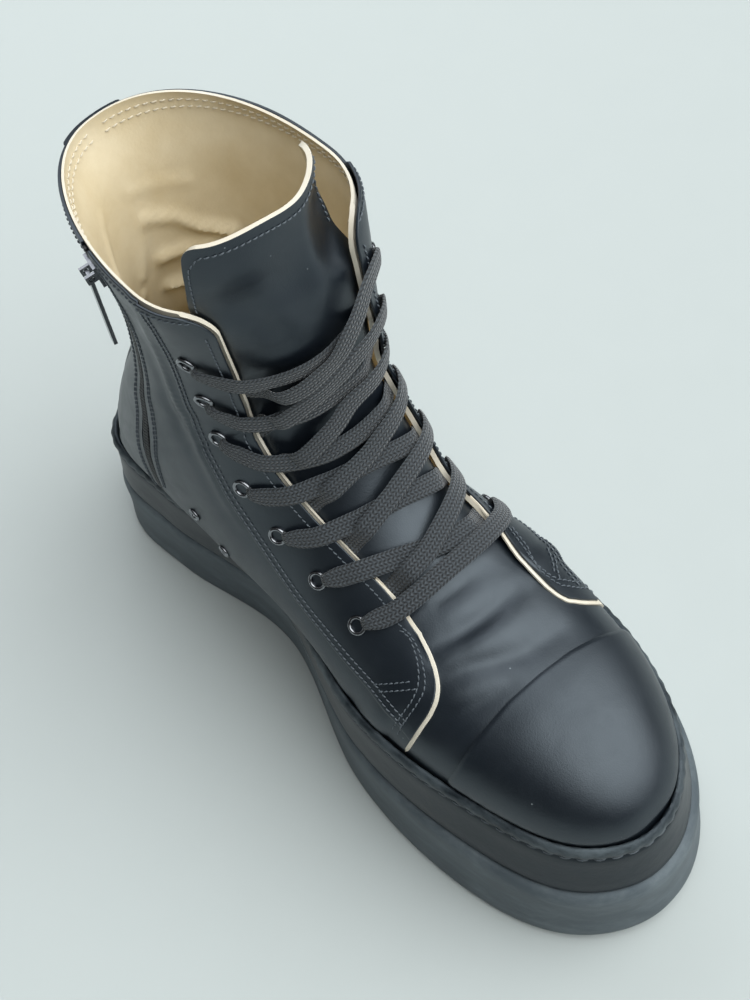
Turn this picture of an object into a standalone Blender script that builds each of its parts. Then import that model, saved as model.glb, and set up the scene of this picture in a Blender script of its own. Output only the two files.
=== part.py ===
"""A left platform boot with a tall two-band rubber sole, laced front and side zip.

Frame: +X to the toe, +Y to the outer side of the foot, +Z up. The boot stands on the plane Z = 0 and the
origin lies under the middle of its box. Lengths are metres.
"""

import math

import bmesh
import bpy
import numpy as np
from mathutils import Matrix, Vector

# Overall sizes
SOLE_LENGTH = 0.316
BALL_WIDTH = 0.117
SHAFT_RISE = 0.163
TOE_SWING = 0.0058
OUTLINE_ROUNDNESS = 0.85

# Rubber sole, heights above the floor and thicknesses
PLATE_THICKNESS = 0.0045
PLATE_INSET = 0.0022
TOE_SPRING = 0.0045
SPRING_START = 0.80
PLATFORM_TOP = 0.039
PLATFORM_ROUND = 0.0030
FOXING_RISE = 0.0295
RIM_RISE = 0.0035
RIM_THICKNESS = 0.0022
WELL_DEPTH = 0.0025
RIB_PITCH = 0.0078
GROOVE_WIDTH = 0.0026
GROOVE_DEPTH = 0.0016
RIB_ANGLE = math.radians(52)
SMOOTH_HEEL = 0.15
SMOOTH_TOE = 0.86

# Leather, facings and lacing
LEATHER = 0.0022
OVERLAY = 0.0013
INSOLE_THICKNESS = 0.004
INSOLE_GAP = 0.0022
FACING_HALF_GAP = 0.029
EYESTAY_WIDTH = 0.031
EYELET_INSET = 0.0165
EYELET_PITCH = 0.0228
EYELET_COUNT = 7
EYELET_RADIUS = 0.0041
EYELET_HOLE = 0.0021
EYELET_BARREL = 0.0026
EYELET_FLANGE = 0.0009
VENT_RADIUS = 0.0030
VENT_HOLE = 0.0012
VENT_BARREL = 0.0018
TONGUE_HALF_WIDTH = 0.036
TONGUE_THICKNESS = 0.002
HEEL_STRIP_HALF = 0.0135
LACE_WIDTH = 0.0072
LACE_THICKNESS = 0.0013

# Side zip
CHAIN_HALF = 0.0029
CHAIN_DEPTH = 0.0016
CHAIN_PROUD = 0.0005
SLIDER_BELOW_COLLAR = 0.013
SLIDER_LENGTH = 0.011
SLIDER_WIDTH = 0.0082
SLIDER_THICKNESS = 0.0016
EAR_THICKNESS = 0.0011
EAR_RISE = 0.0040
EAR_LENGTH = 0.0040
PIN_RADIUS = 0.0007
PULL_LENGTH = 0.040
PULL_WIDTH = 0.0030
PULL_THICKNESS = 0.0014

# Clearances
GAP = 0.0003
OVERLAY_GAP = 0.00055
WALL_GAP = 0.0009
TONGUE_GAP = 0.0008

# Heights that follow from the sizes above
FOXING_BOTTOM = PLATFORM_TOP + GAP
FOXING_TOP = PLATFORM_TOP + FOXING_RISE
RIM_TOP = FOXING_TOP + RIM_RISE
WELL_FLOOR = FOXING_TOP - WELL_DEPTH
FEATHER = WELL_FLOOR + 4 * GAP

# How finely the surfaces are cut
SOLE_STATIONS = 28
STAY_COLUMNS = 4
QUARTER_COLUMNS = 7
TONGUE_COLUMNS = 5
ZIP_STATIONS = 10
ARC_SAMPLES = 80

# The sole seen from above. along runs from the heel (0) to the toe (1) as an angle, so that both ends are
# round; medial and lateral are half widths as shares of BALL_WIDTH; the last two scale how far the bands
# step in on each side, and at the inner waist they do not step in at all.
OUTLINE_COLUMNS = ("along", "medial", "lateral", "step_medial", "step_lateral")
OUTLINE = (
    (0.00, 0.384, 0.385, 0.64, 0.64),
    (0.05, 0.420, 0.415, 0.64, 0.64),
    (0.14, 0.500, 0.460, 0.40, 0.55),
    (0.28, 0.356, 0.430, 0.20, 0.60),
    (0.42, 0.226, 0.430, -0.10, 0.85),
    (0.56, 0.442, 0.562, 0.35, 1.00),
    (0.70, 0.549, 0.626, 0.95, 1.00),
    (0.84, 0.598, 0.618, 1.00, 1.00),
    (1.00, 0.503, 0.509, 1.00, 1.00),
)

# How far each line of the sole's side steps in from its bottom edge, at the heel and at the toe.
STEPS_IN = {
    "floor": (0.0, 0.0),
    "platform_top": (0.0037, 0.0026),
    "foxing_bottom": (0.0070, 0.0056),
    "foxing_top": (0.0130, 0.0108),
}

# The upper as a row of slanting sections from the toe to the collar, then on for the tongue alone.
# Each section runs from a front point on the ridge to a back point on the feather line or the heel line.
# x is a share of the feather line's length, z of SHAFT_RISE, y and the half widths of BALL_WIDTH. y counts
# from the middle of the feather line while the section ends on it, and from Y = 0 above the heel.
# round_medial and round_lateral are the exponents of the front half's curve, widest is where the section
# is widest between front and back, and skew pushes the outer side forward and the inner side back.
SECTION_COLUMNS = (
    "front_x", "front_z", "back_x", "back_z", "front_y", "back_y",
    "medial", "lateral", "round_medial", "round_lateral", "widest", "skew",
)
SECTIONS = (
    (1.000, 0.000, 1.000, 0.000, 0.000, 0.000, 0.000, 0.000, 2.20, 2.20, 1.00, 0.00),
    (0.990, 0.060, 0.989, 0.000, 0.003, 0.000, 0.000, 0.000, 2.20, 2.20, 1.00, 0.00),
    (0.975, 0.102, 0.974, 0.000, 0.003, 0.000, 0.000, 0.000, 2.20, 2.20, 1.00, 0.00),
    (0.943, 0.142, 0.939, 0.000, 0.000, 0.000, 0.000, 0.000, 2.20, 2.20, 1.00, 0.00),
    (0.895, 0.176, 0.888, 0.000, -0.005, 0.000, 0.000, 0.000, 2.20, 2.20, 0.98, 0.00),
    (0.833, 0.196, 0.819, 0.000, -0.002, 0.000, 0.000, 0.000, 2.20, 2.20, 0.95, 0.00),
    (0.771, 0.201, 0.747, 0.000, 0.011, 0.000, 0.000, 0.000, 2.20, 2.20, 0.92, 0.00),
    (0.709, 0.225, 0.671, 0.000, 0.038, 0.000, 0.393, 0.402, 2.20, 2.20, 0.88, 0.00),
    (0.651, 0.250, 0.589, 0.000, 0.051, 0.000, 0.402, 0.380, 2.15, 2.30, 0.82, 0.03),
    (0.596, 0.287, 0.499, 0.000, 0.050, 0.000, 0.393, 0.338, 2.15, 2.50, 0.76, 0.06),
    (0.544, 0.339, 0.400, 0.000, 0.042, 0.000, 0.376, 0.299, 2.15, 2.70, 0.70, 0.10),
    (0.496, 0.415, 0.297, 0.000, 0.047, 0.000, 0.368, 0.308, 2.15, 3.00, 0.62, 0.20),
    (0.458, 0.507, 0.194, 0.000, 0.056, 0.000, 0.342, 0.325, 2.15, 3.10, 0.56, 0.28),
    (0.436, 0.606, 0.091, 0.000, 0.060, 0.000, 0.321, 0.329, 2.15, 3.10, 0.53, 0.30),
    (0.431, 0.648, 0.000, 0.000, 0.053, 0.000, 0.316, 0.329, 2.15, 3.10, 0.51, 0.30),
    (0.429, 0.685, 0.004, 0.084, 0.051, 0.010, 0.299, 0.329, 2.15, 3.10, 0.50, 0.30),
    (0.429, 0.722, 0.013, 0.164, 0.051, 0.026, 0.291, 0.329, 2.15, 3.10, 0.48, 0.30),
    (0.427, 0.759, 0.039, 0.274, 0.051, 0.034, 0.286, 0.333, 2.15, 3.00, 0.46, 0.28),
    (0.427, 0.796, 0.067, 0.379, 0.051, 0.047, 0.282, 0.338, 2.15, 2.90, 0.44, 0.25),
    (0.424, 0.839, 0.077, 0.495, 0.051, 0.064, 0.282, 0.350, 2.15, 2.70, 0.42, 0.22),
    (0.420, 0.888, 0.074, 0.636, 0.051, 0.081, 0.291, 0.372, 2.20, 2.50, 0.39, 0.18),
    (0.414, 0.943, 0.049, 0.820, 0.051, 0.103, 0.316, 0.397, 2.20, 2.30, 0.36, 0.15),
    (0.403, 1.001, 0.015, 0.967, 0.051, 0.111, 0.333, 0.419, 2.20, 2.20, 0.33, 0.12),
    (0.398, 1.084, 0.029, 1.053, 0.077, 0.111, 0.308, 0.316, 2.20, 2.20, 0.24, 0.00),
    (0.390, 1.176, 0.036, 1.145, 0.111, 0.111, 0.291, 0.231, 2.20, 2.20, 0.17, -0.05),
)
BACK_ROUND = 2.15
HEEL_FADE = 2.0
BULGE_RISE = 0.012
HEEL_ROW = 14
COLLAR_ROW = 22
TONGUE_ROW = 24
VAMP_ROW = 7.5
TOE_SEAM_MEDIAL = 5.72
TOE_SEAM_LATERAL = 5.36
QUARTER_ROW = 6.75
FIRST_EYELET_ROW = 8.9

# Where the facing edges lie, as shares of FACING_HALF_GAP, on either side of the ridge.
FACING_COLUMNS = ("row", "medial", "lateral")
FACING = (
    (7, 0.93, 0.90),
    (9, 0.84, 1.00),
    (11, 0.97, 1.10),
    (13, 1.05, 1.10),
    (16, 1.07, 1.00),
    (19, 1.05, 0.92),
    (22, 1.00, 1.03),
)

# The zip and the two vents on the inner side: x as a share of SOLE_LENGTH, z of SHAFT_RISE.
ZIP_TOP_X = 0.194
ZIP_BOTTOM = (0.213, 0.095)
VENTS = ((0.295, 0.180), (0.346, 0.123))

MEDIAL = -1
LATERAL = 1
SIDES = {MEDIAL: "medial", LATERAL: "lateral"}


def table_column(names, table, name):
    index = names.index(name)
    return np.array([row[index] for row in table], float)


def smooth_curve(xs, ys, x):
    """Height at x of a curve through the points (xs, ys) without kinks: cubic pieces with central slopes."""
    slopes = np.gradient(ys, xs)
    x = float(np.clip(x, xs[0], xs[-1]))
    i = int(np.clip(np.searchsorted(xs, x, side="right") - 1, 0, len(xs) - 2))
    step = xs[i + 1] - xs[i]
    t = (x - xs[i]) / step
    return (
        (2 * t**3 - 3 * t**2 + 1) * ys[i]
        + (t**3 - 2 * t**2 + t) * step * slopes[i]
        + (3 * t**2 - 2 * t**3) * ys[i + 1]
        + (t**3 - t**2) * step * slopes[i + 1]
    )


# Sole outline
def edge_point(along, side):
    """A point (x, y) of the sole's bottom edge, the outline that everything else steps in from."""
    half = smooth_curve(
        table_column(OUTLINE_COLUMNS, OUTLINE, "along"),
        table_column(OUTLINE_COLUMNS, OUTLINE, SIDES[side]),
        along,
    )
    width = BALL_WIDTH * half * max(math.sin(math.pi * along), 0.0) ** OUTLINE_ROUNDNESS
    x = SOLE_LENGTH * (1 - math.cos(math.pi * along)) / 2
    return np.array([x, -TOE_SWING * along + side * width])


def outline_point(along, side, line, extra=0.0):
    """The outline stepped in by a line of STEPS_IN, and by extra more."""
    heel, toe = STEPS_IN[line]
    step = smooth_curve(
        table_column(OUTLINE_COLUMNS, OUTLINE, "along"),
        table_column(OUTLINE_COLUMNS, OUTLINE, "step_" + SIDES[side]),
        along,
    )
    inset = (heel + (toe - heel) * along) * step + extra
    small = 1e-4
    if along < small:
        return edge_point(0, side) + np.array([inset, 0])
    if along > 1 - small:
        return edge_point(1, side) - np.array([inset, 0])
    run = edge_point(along + small, side) - edge_point(along - small, side)
    run /= np.linalg.norm(run)
    return edge_point(along, side) + inset * side * np.array([run[1], -run[0]])


FEATHER_STEP = RIM_THICKNESS + WALL_GAP
FEATHER_LINES = {
    side: np.array([outline_point(a, side, "foxing_top", FEATHER_STEP) for a in np.linspace(0, 1, 81)])
    for side in SIDES
}
FEATHER_HEEL = FEATHER_LINES[MEDIAL][0, 0]
FEATHER_TOE = FEATHER_LINES[MEDIAL][-1, 0]


def feather_y(x, side):
    line = FEATHER_LINES[side]
    return np.interp(x, line[:, 0], line[:, 1])


# Upper surface
SECTION_ROWS = np.arange(len(SECTIONS), dtype=float)
SECTION_VALUES = {name: table_column(SECTION_COLUMNS, SECTIONS, name) for name in SECTION_COLUMNS}
HALVES = {}


def half_section(row, side):
    """Points of one side of a section, from the ridge round to the feather line or the heel line."""
    key = (round(row, 4), side)
    if key in HALVES:
        return HALVES[key]
    at = {name: smooth_curve(SECTION_ROWS, SECTION_VALUES[name], row) for name in SECTION_COLUMNS}
    span = FEATHER_TOE - FEATHER_HEEL
    front_x = FEATHER_HEEL + at["front_x"] * span
    back_x = FEATHER_HEEL + max(at["back_x"], 0.0) * span
    front_z = FEATHER + at["front_z"] * SHAFT_RISE
    back_z = FEATHER + max(at["back_z"], 0.0) * SHAFT_RISE
    fade = min(max(HEEL_ROW - row, 0.0) / HEEL_FADE, 1.0)
    middle = fade * (feather_y(back_x, MEDIAL) + feather_y(back_x, LATERAL)) / 2
    front_y = middle + at["front_y"] * BALL_WIDTH
    back_y = middle + at["back_y"] * BALL_WIDTH
    foot = abs(feather_y(back_x, side) - back_y) if row < HEEL_ROW else 0.0
    half = max(at[SIDES[side]] * BALL_WIDTH, foot, 1e-6)
    widest = min(at["widest"], 0.999)
    power = at["round_" + SIDES[side]]
    tuck = (1 - min(foot / half, 1.0) ** BACK_ROUND) ** (1 / BACK_ROUND)
    turn = np.linspace(0, math.pi / 2, ARC_SAMPLES // 2)
    share = np.concatenate([widest * (1 - np.cos(turn)), widest + (1 - widest) * np.sin(turn)[1:]])
    before = np.clip(1 - share / widest, 0, 1)
    after = np.clip(tuck * (share - widest) / (1 - widest), 0, 1)
    bulge = np.where(
        share < widest, (1 - before**power) ** (1 / power), (1 - after**BACK_ROUND) ** (1 / BACK_ROUND)
    )
    out = side * half * bulge
    x = front_x + (back_x - front_x) * share + at["skew"] * out * (1 - share) ** 2
    y = front_y + (back_y - front_y) * share + out
    z = front_z + (back_z - front_z) * share
    points = np.stack([x, stand_in_rim(x, y, z, side), z], 1)
    arcs = np.concatenate([[0.0], np.cumsum(np.linalg.norm(np.diff(points, axis=0), axis=1))])
    HALVES[key] = (points, arcs)
    return HALVES[key]


def stand_in_rim(x, y, z, side):
    """The wall stands upright inside the rolled rim and may bulge over the sole only above it."""
    wall = feather_y(x, side)
    beyond = np.maximum((y - wall) * side, 0.0)
    free = np.clip((z - RIM_TOP - OVERLAY_GAP) / BULGE_RISE, 0, 1)
    return y - side * beyond * (1 - free) ** 2


def arc_length(row, side):
    return half_section(row, side)[1][-1]


def wall_at(row, arc):
    """A point of the upper's outer surface. arc is the distance from the ridge, below 0 on the inner side."""
    side = MEDIAL if arc < 0 else LATERAL
    points, arcs = half_section(row, side)
    return np.array([np.interp(abs(arc), arcs, points[:, axis]) for axis in range(3)])


def wall_from_back(row, arc):
    """The same surface measured from the heel line, with arc below 0 on the inner side."""
    side = MEDIAL if arc < 0 else LATERAL
    return wall_at(row, side * (arc_length(row, side) - abs(arc)))


def wall_normal(row, arc):
    """The outward direction of the surface at a row and an arc distance."""
    step = 0.05
    along = wall_at(row + step, arc) - wall_at(row - step, arc)
    across = wall_at(row, arc + 0.0015) - wall_at(row, arc - 0.0015)
    normal = np.cross(across, along)
    return normal / np.linalg.norm(normal)


def arc_at_height(row, side, height):
    """How far from the ridge the wall comes down to a height, or its whole length if it stays above."""
    points, arcs = half_section(row, side)
    low = np.nonzero(points[:, 2] < height)[0]
    if not len(low):
        return arcs[-1]
    if low[0] == 0:
        return 0.0
    i = low[0]
    return float(np.interp(-height, [-points[i - 1, 2], -points[i, 2]], [arcs[i - 1], arcs[i]]))


def inner_side_at(x, z):
    """Row and arc of the point of the inner side that has this x and z."""
    rows = np.linspace(HEEL_ROW - 5, COLLAR_ROW, 120)
    best = None
    for row in rows:
        points, arcs = half_section(row, MEDIAL)
        far = np.hypot(points[:, 0] - x, points[:, 2] - z)
        low = int(np.argmin(np.where(arcs > 0.03, far, 1.0)))
        if best is None or far[low] < best[0]:
            best = (far[low], row, arcs[low])
    row, arc = best[1], -best[2]
    for _ in range(8):
        here = wall_at(row, arc)
        by_row = (wall_at(min(row + 0.05, COLLAR_ROW), arc) - wall_at(row - 0.05, arc)) / 0.1
        by_arc = (wall_at(row, arc + 0.001) - wall_at(row, arc - 0.001)) / 0.002
        slopes = np.array([[by_row[0], by_arc[0]], [by_row[2], by_arc[2]]])
        miss = np.array([x - here[0], z - here[2]])
        move = np.linalg.lstsq(slopes, miss, rcond=0.01)[0]
        row = float(np.clip(row + np.clip(move[0], -0.5, 0.5), HEEL_ROW - 5, COLLAR_ROW))
        arc = arc + float(np.clip(move[1], -0.004, 0.004))
    return row, arc


def facing_arc(row, side):
    """How far from the ridge the facing edge runs."""
    share = smooth_curve(
        table_column(FACING_COLUMNS, FACING, "row"), table_column(FACING_COLUMNS, FACING, SIDES[side]), row
    )
    return share * FACING_HALF_GAP


# The part's own frame, with its origin under the middle of the box
SHIFT = np.array([
    -SOLE_LENGTH / 2,
    -(
        min(edge_point(a, MEDIAL)[1] for a in np.linspace(0, 1, 201))
        + max(edge_point(a, LATERAL)[1] for a in np.linspace(0, 1, 201))
    ) / 2,
    0.0,
])


# Scene, materials and mesh helpers
def clear_scene():
    for thing in list(bpy.data.objects):
        bpy.data.objects.remove(thing, do_unlink=True)


def new_collection(name):
    group = bpy.data.collections.new(name)
    bpy.context.scene.collection.children.link(group)
    return group


def material(name, colour, roughness, metallic=0.0):
    finish = bpy.data.materials.new(name)
    finish.use_nodes = True
    shader = finish.node_tree.nodes["Principled BSDF"]
    shader.inputs["Base Color"].default_value = (*colour, 1.0)
    shader.inputs["Roughness"].default_value = roughness
    shader.inputs["Metallic"].default_value = metallic
    finish.diffuse_color = (*colour, 1.0)
    return finish


def object_from(name, mesh_data, finish, group):
    mesh = bpy.data.meshes.new(name)
    mesh_data.to_mesh(mesh)
    mesh_data.free()
    if finish is not None:
        mesh.materials.append(finish)
    mesh.shade_smooth()
    mesh.set_sharp_from_angle(angle=math.radians(40))
    thing = bpy.data.objects.new(name, mesh)
    group.objects.link(thing)
    return thing


def as_cutter(thing):
    thing.hide_render = True
    thing.display_type = "WIRE"
    return thing


def cut(thing, cutter, operation="DIFFERENCE"):
    step = thing.modifiers.new("cut_" + cutter.name, "BOOLEAN")
    step.operation = operation
    step.solver = "EXACT"
    step.object = cutter


def open_sheet(patches):
    """One open mesh from patches of points, each a list of rows. Patches and rows share edges by place."""
    bm = bmesh.new()
    for rows, flip in patches:
        grid = [[bm.verts.new(Vector(point + SHIFT)) for point in row] for row in rows]
        for upper, lower in zip(grid, grid[1:]):
            for i in range(len(upper) - 1):
                corners = [upper[i], upper[i + 1], lower[i + 1], lower[i]]
                bm.faces.new(corners[::-1] if flip else corners)
    bmesh.ops.remove_doubles(bm, verts=bm.verts, dist=2e-5)
    bmesh.ops.dissolve_degenerate(bm, edges=bm.edges, dist=1e-6)
    bm.normal_update()
    return bm


def leather_piece(name, patches, lift, thickness, inward, finish, group):
    """A sheet raised off the shared surface by lift, then given its thickness."""
    bm = open_sheet(patches)
    moves = [(vert, vert.normal.copy() * lift) for vert in bm.verts]
    for vert, move in moves:
        vert.co += move
    thing = object_from(name, bm, finish, group)
    shell = thing.modifiers.new("leather", "SOLIDIFY")
    shell.thickness = thickness
    shell.offset = -1.0 if inward else 1.0
    return thing


# Sole pieces
def sole_loop(line, extra, height):
    """One closed loop of the sole: up the inner side from heel to toe, and back down the outer side.

    height is a number, or a function of x for the sprung bottom."""
    stations = np.linspace(0, 1, SOLE_STATIONS + 1)
    inner = [outline_point(a, MEDIAL, line, extra) for a in stations]
    outer = [outline_point(a, LATERAL, line, extra) for a in stations[-2:0:-1]]
    loop = []
    for x, y in inner + outer:
        z = height(x) if callable(height) else height
        loop.append(Vector(np.array([x, y, z]) + SHIFT))
    return loop


def stacked_solid(name, loops, finish, group):
    """Joins loops into a closed solid, with both ends closed by rungs across the sole."""
    bm = bmesh.new()
    rings = [[bm.verts.new(point) for point in loop] for loop in loops]
    count = len(rings[0])
    for below, above in zip(rings, rings[1:]):
        for i in range(count):
            j = (i + 1) % count
            bm.faces.new([below[i], below[j], above[j], above[i]])
    for ring, downward in ((rings[0], True), (rings[-1], False)):
        for i in range(SOLE_STATIONS):
            corners = [ring[i], ring[i + 1], ring[(count - i - 1) % count], ring[(count - i) % count]]
            kept = list(dict.fromkeys(corners))
            bm.faces.new(kept[::-1] if downward else kept)
    bmesh.ops.recalc_face_normals(bm, faces=bm.faces)
    return object_from(name, bm, finish, group)


def spring(x):
    """How far the bottom rises off the floor towards the toe."""
    past = max(x / SOLE_LENGTH - SPRING_START, 0.0) / (1 - SPRING_START)
    return TOE_SPRING * past**2


def make_outsole(finish, group, cutters):
    plate = stacked_solid(
        "outsole",
        [
            sole_loop("floor", PLATE_INSET + 0.0012, spring),
            sole_loop("floor", PLATE_INSET, lambda x: spring(x) + 0.0012),
            sole_loop("floor", PLATE_INSET, lambda x: spring(x) + PLATE_THICKNESS),
        ],
        finish,
        group,
    )
    bm = bmesh.new()
    first = SMOOTH_HEEL * SOLE_LENGTH
    last = SMOOTH_TOE * SOLE_LENGTH
    reach = BALL_WIDTH * 0.9
    lean = Matrix.Rotation(RIB_ANGLE - math.pi / 2, 4, "Z")
    for i in range(int((last - first) / RIB_PITCH) + 1):
        x = first + i * RIB_PITCH
        size = Matrix.Diagonal((GROOVE_WIDTH, 2 * reach, 2 * GROOVE_DEPTH, 1.0))
        place = Matrix.Translation(Vector(np.array([x, 0.0, spring(x)]) + SHIFT))
        bmesh.ops.create_cube(bm, size=1.0, matrix=place @ lean @ size)
    grooves = as_cutter(object_from("tread_grooves", bm, None, cutters))
    cut(plate, grooves)
    return plate


def make_platform(finish, group):
    ceiling = PLATE_THICKNESS + GAP
    lip = PLATE_INSET - GAP
    return stacked_solid(
        "platform",
        [
            sole_loop("floor", lip, lambda x: spring(x) + ceiling),
            sole_loop("floor", lip, lambda x: spring(x) + 0.0012),
            sole_loop("floor", 0.0, lambda x: spring(x) + 0.0030),
            sole_loop("platform_top", 0.0, PLATFORM_TOP - PLATFORM_ROUND),
            sole_loop("platform_top", PLATFORM_ROUND * 0.3, PLATFORM_TOP - PLATFORM_ROUND * 0.3),
            sole_loop("platform_top", PLATFORM_ROUND, PLATFORM_TOP),
        ],
        finish,
        group,
    )


def make_foxing(finish, group):
    return stacked_solid(
        "foxing",
        [
            sole_loop("foxing_bottom", 0.0010, FOXING_BOTTOM),
            sole_loop("foxing_bottom", 0.0, FOXING_BOTTOM + 0.0015),
            sole_loop("foxing_top", -0.0012, FOXING_TOP - 0.0060),
            sole_loop("foxing_top", 0.0, FOXING_TOP),
            sole_loop("foxing_top", 0.0, RIM_TOP - 0.0010),
            sole_loop("foxing_top", RIM_THICKNESS * 0.5, RIM_TOP),
            sole_loop("foxing_top", RIM_THICKNESS, RIM_TOP - 0.0008),
            sole_loop("foxing_top", RIM_THICKNESS, WELL_FLOOR),
        ],
        finish,
        group,
    )


def make_insole(finish, group):
    inside = FEATHER_STEP + LEATHER + INSOLE_GAP
    return stacked_solid(
        "insole",
        [
            sole_loop("foxing_top", inside, WELL_FLOOR + GAP),
            sole_loop("foxing_top", inside, FEATHER + INSOLE_THICKNESS * 0.7),
            sole_loop("foxing_top", inside + INSOLE_THICKNESS * 0.3, FEATHER + INSOLE_THICKNESS),
        ],
        finish,
        group,
    )


# Upper and its overlays. They share their rows, so that one lies evenly on the other.
TOE_ROWS = [0, 0.35, 0.7, 1.1, 1.6, 2.2, 2.9, 3.7, 4.5, 5.3, 6.1, QUARTER_ROW, QUARTER_ROW + 0.35, VAMP_ROW]
THROAT_ROWS = [VAMP_ROW + step for step in (0.12, 0.4, 0.8, 1.3, 1.9)]
SHAFT_ROWS = [10.1, 10.8, 11.5, 12.1, 12.7, 13.25, 13.6, 13.83, 13.955] + list(range(HEEL_ROW, COLLAR_ROW + 1))


def throat_arc(row, side):
    """Half width of the opening in front: none at the vamp, then a round start, then the facing edge."""
    if row <= VAMP_ROW:
        return 0.0
    grow = min((row - VAMP_ROW) / 1.2, 1.0)
    return facing_arc(row, side) * (1 - (1 - grow) ** 2.5) ** 0.4


def rim_arc(row, side):
    """Where an overlay ends, just above the rolled rim."""
    return arc_at_height(row, side, RIM_TOP + OVERLAY_GAP)


def wall_arcs(row, side):
    """The upper's grid across one side: over the eyestay's width, on down to the rim, and inside the rim."""
    start = throat_arc(row, side)
    end = arc_length(row, side)
    knee = start + min(EYESTAY_WIDTH, (end - start) * 0.42)
    rim = min(max(rim_arc(row, side), start + (end - start) * 0.7), end - 0.02 * (end - start))
    near = np.linspace(start, knee, STAY_COLUMNS + 1)
    return np.concatenate([near, np.linspace(knee, rim, QUARTER_COLUMNS)[1:], [end]])


def wall_rows(side, rows, arcs_at):
    """Grid points of one side of the wall, with the arcs of each row given by a function."""
    return [[wall_at(row, side * max(arc, 1e-9)) for arc in arcs_at(row, side)] for row in rows]


def make_upper(finish, group):
    rows = TOE_ROWS + THROAT_ROWS + SHAFT_ROWS
    patches = [(wall_rows(side, rows, wall_arcs), side == MEDIAL) for side in SIDES]
    return leather_piece("upper", patches, 0.0, LEATHER, True, finish, group)


def make_toe_cap(finish, group):
    first = 0.0
    while half_section(first, MEDIAL)[0][0, 2] < RIM_TOP + OVERLAY_GAP:
        first += 0.01
    patches = []
    for side, seam in ((MEDIAL, TOE_SEAM_MEDIAL), (LATERAL, TOE_SEAM_LATERAL)):
        middle = (TOE_SEAM_MEDIAL + TOE_SEAM_LATERAL) / 2
        shares = np.linspace(0, 1, 11) ** 1.4
        grid = []
        for share in shares:
            line = []
            for across in np.linspace(0, 1, 8):
                row = first + (middle + (seam - middle) * across - first) * share
                line.append(wall_at(row, side * max(rim_arc(row, side) * across, 1e-9)))
            grid.append(line)
        patches.append((grid, side == MEDIAL))
    return leather_piece("toe_cap", patches, OVERLAY_GAP, OVERLAY, False, finish, group)


def eyestay_end(row, side):
    """The eyestay's rear seam, which runs down to the rim at its front end."""
    return min(facing_arc(row, side) + EYESTAY_WIDTH, rim_arc(row, side))


def eyestay_start(row, side):
    """The facing edge, rounded off down to the quarter's front edge."""
    edge = facing_arc(max(row, 7.0), side)
    if row >= QUARTER_ROW + 1:
        return edge
    rest = (QUARTER_ROW + 1 - row) / 1.0
    return edge + (rim_arc(row, side) - edge) * min(rest, 1.0) ** 3 * 0.45


def eyestay_arcs(row, side):
    return np.linspace(eyestay_start(row, side), eyestay_end(row, side), 2 * STAY_COLUMNS + 1)


def make_eyestay(side, finish, group):
    rows = [QUARTER_ROW, QUARTER_ROW + 0.35] + [VAMP_ROW] + THROAT_ROWS[1:] + SHAFT_ROWS
    grid = wall_rows(side, rows, eyestay_arcs)
    name = "eyestay_" + SIDES[side]
    return leather_piece(name, [(grid, side == MEDIAL)], OVERLAY_GAP, OVERLAY, False, finish, group)


def make_heel_strip(finish, group):
    rows = [HEEL_ROW + 0.45] + list(np.arange(HEEL_ROW + 1, COLLAR_ROW + 1))
    grid = []
    for row in rows:
        arcs = np.linspace(-HEEL_STRIP_HALF, HEEL_STRIP_HALF, 7)
        grid.append([wall_from_back(row, arc if arc else 1e-9) for arc in arcs])
    return leather_piece("heel_strip", [(grid, True)], OVERLAY_GAP, OVERLAY, False, finish, group)


def make_tongue(finish, group):
    rows = [QUARTER_ROW, VAMP_ROW] + THROAT_ROWS[1:] + SHAFT_ROWS + [22.7, 23.3, 23.65, 23.88, TONGUE_ROW]
    first = rows[0]
    grid = []
    for row in rows:
        half = TONGUE_HALF_WIDTH * min(0.8 + 0.2 * (row - first) / 2, 1.0)
        corner = max((row - 23.3) / (TONGUE_ROW - 23.3), 0.0)
        half *= 1 - 0.3 * corner**3
        arcs = np.linspace(-half, half, 2 * TONGUE_COLUMNS + 1)
        grid.append([wall_at(row, arc if arc else 1e-9) for arc in arcs])
    inside = -(LEATHER + TONGUE_GAP)
    return leather_piece("tongue", [(grid, False)], inside, TONGUE_THICKNESS, True, finish, group)


# Eyelets, vents and laces
def eyelet_rows(side):
    """Rows of the eyelets, stepped off at EYELET_PITCH along the line that they sit on."""
    found = [FIRST_EYELET_ROW]
    row = FIRST_EYELET_ROW
    gone = 0.0
    here = wall_at(row, side * (facing_arc(row, side) + EYELET_INSET))
    while len(found) < EYELET_COUNT and row < COLLAR_ROW:
        row += 0.01
        there = wall_at(row, side * (facing_arc(row, side) + EYELET_INSET))
        gone += float(np.linalg.norm(there - here))
        here = there
        if gone >= EYELET_PITCH * len(found):
            found.append(row)
    return found


def frame_on_wall(row, arc, lift):
    """A placing matrix on the surface: X along the rows, Z outward."""
    normal = wall_normal(row, arc)
    point = wall_at(row, arc) + SHIFT + normal * lift
    along = wall_at(row + 0.1, arc) - wall_at(row - 0.1, arc)
    along -= normal * float(np.dot(along, normal))
    along /= np.linalg.norm(along)
    across = np.cross(normal, along)
    turn = Matrix([[*column] for column in (along, across, normal)]).transposed().to_4x4()
    return Matrix.Translation(Vector(point)) @ turn


def seat_rise(row, arc, radius):
    """How far the surface rises, within a radius, above the plane that touches it at a point."""
    frame = frame_on_wall(row, arc, 0.0)
    inward = frame.inverted()
    per_row = float(np.linalg.norm(wall_at(row + 0.1, arc) - wall_at(row - 0.1, arc))) / 0.2
    rises = [0.0]
    for turn in np.linspace(0, 2 * math.pi, 12, endpoint=False):
        near = wall_at(row + radius * math.cos(turn) / per_row, arc + radius * math.sin(turn))
        rises.append((inward @ Vector(near + SHIFT)).z)
    return max(rises)


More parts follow.
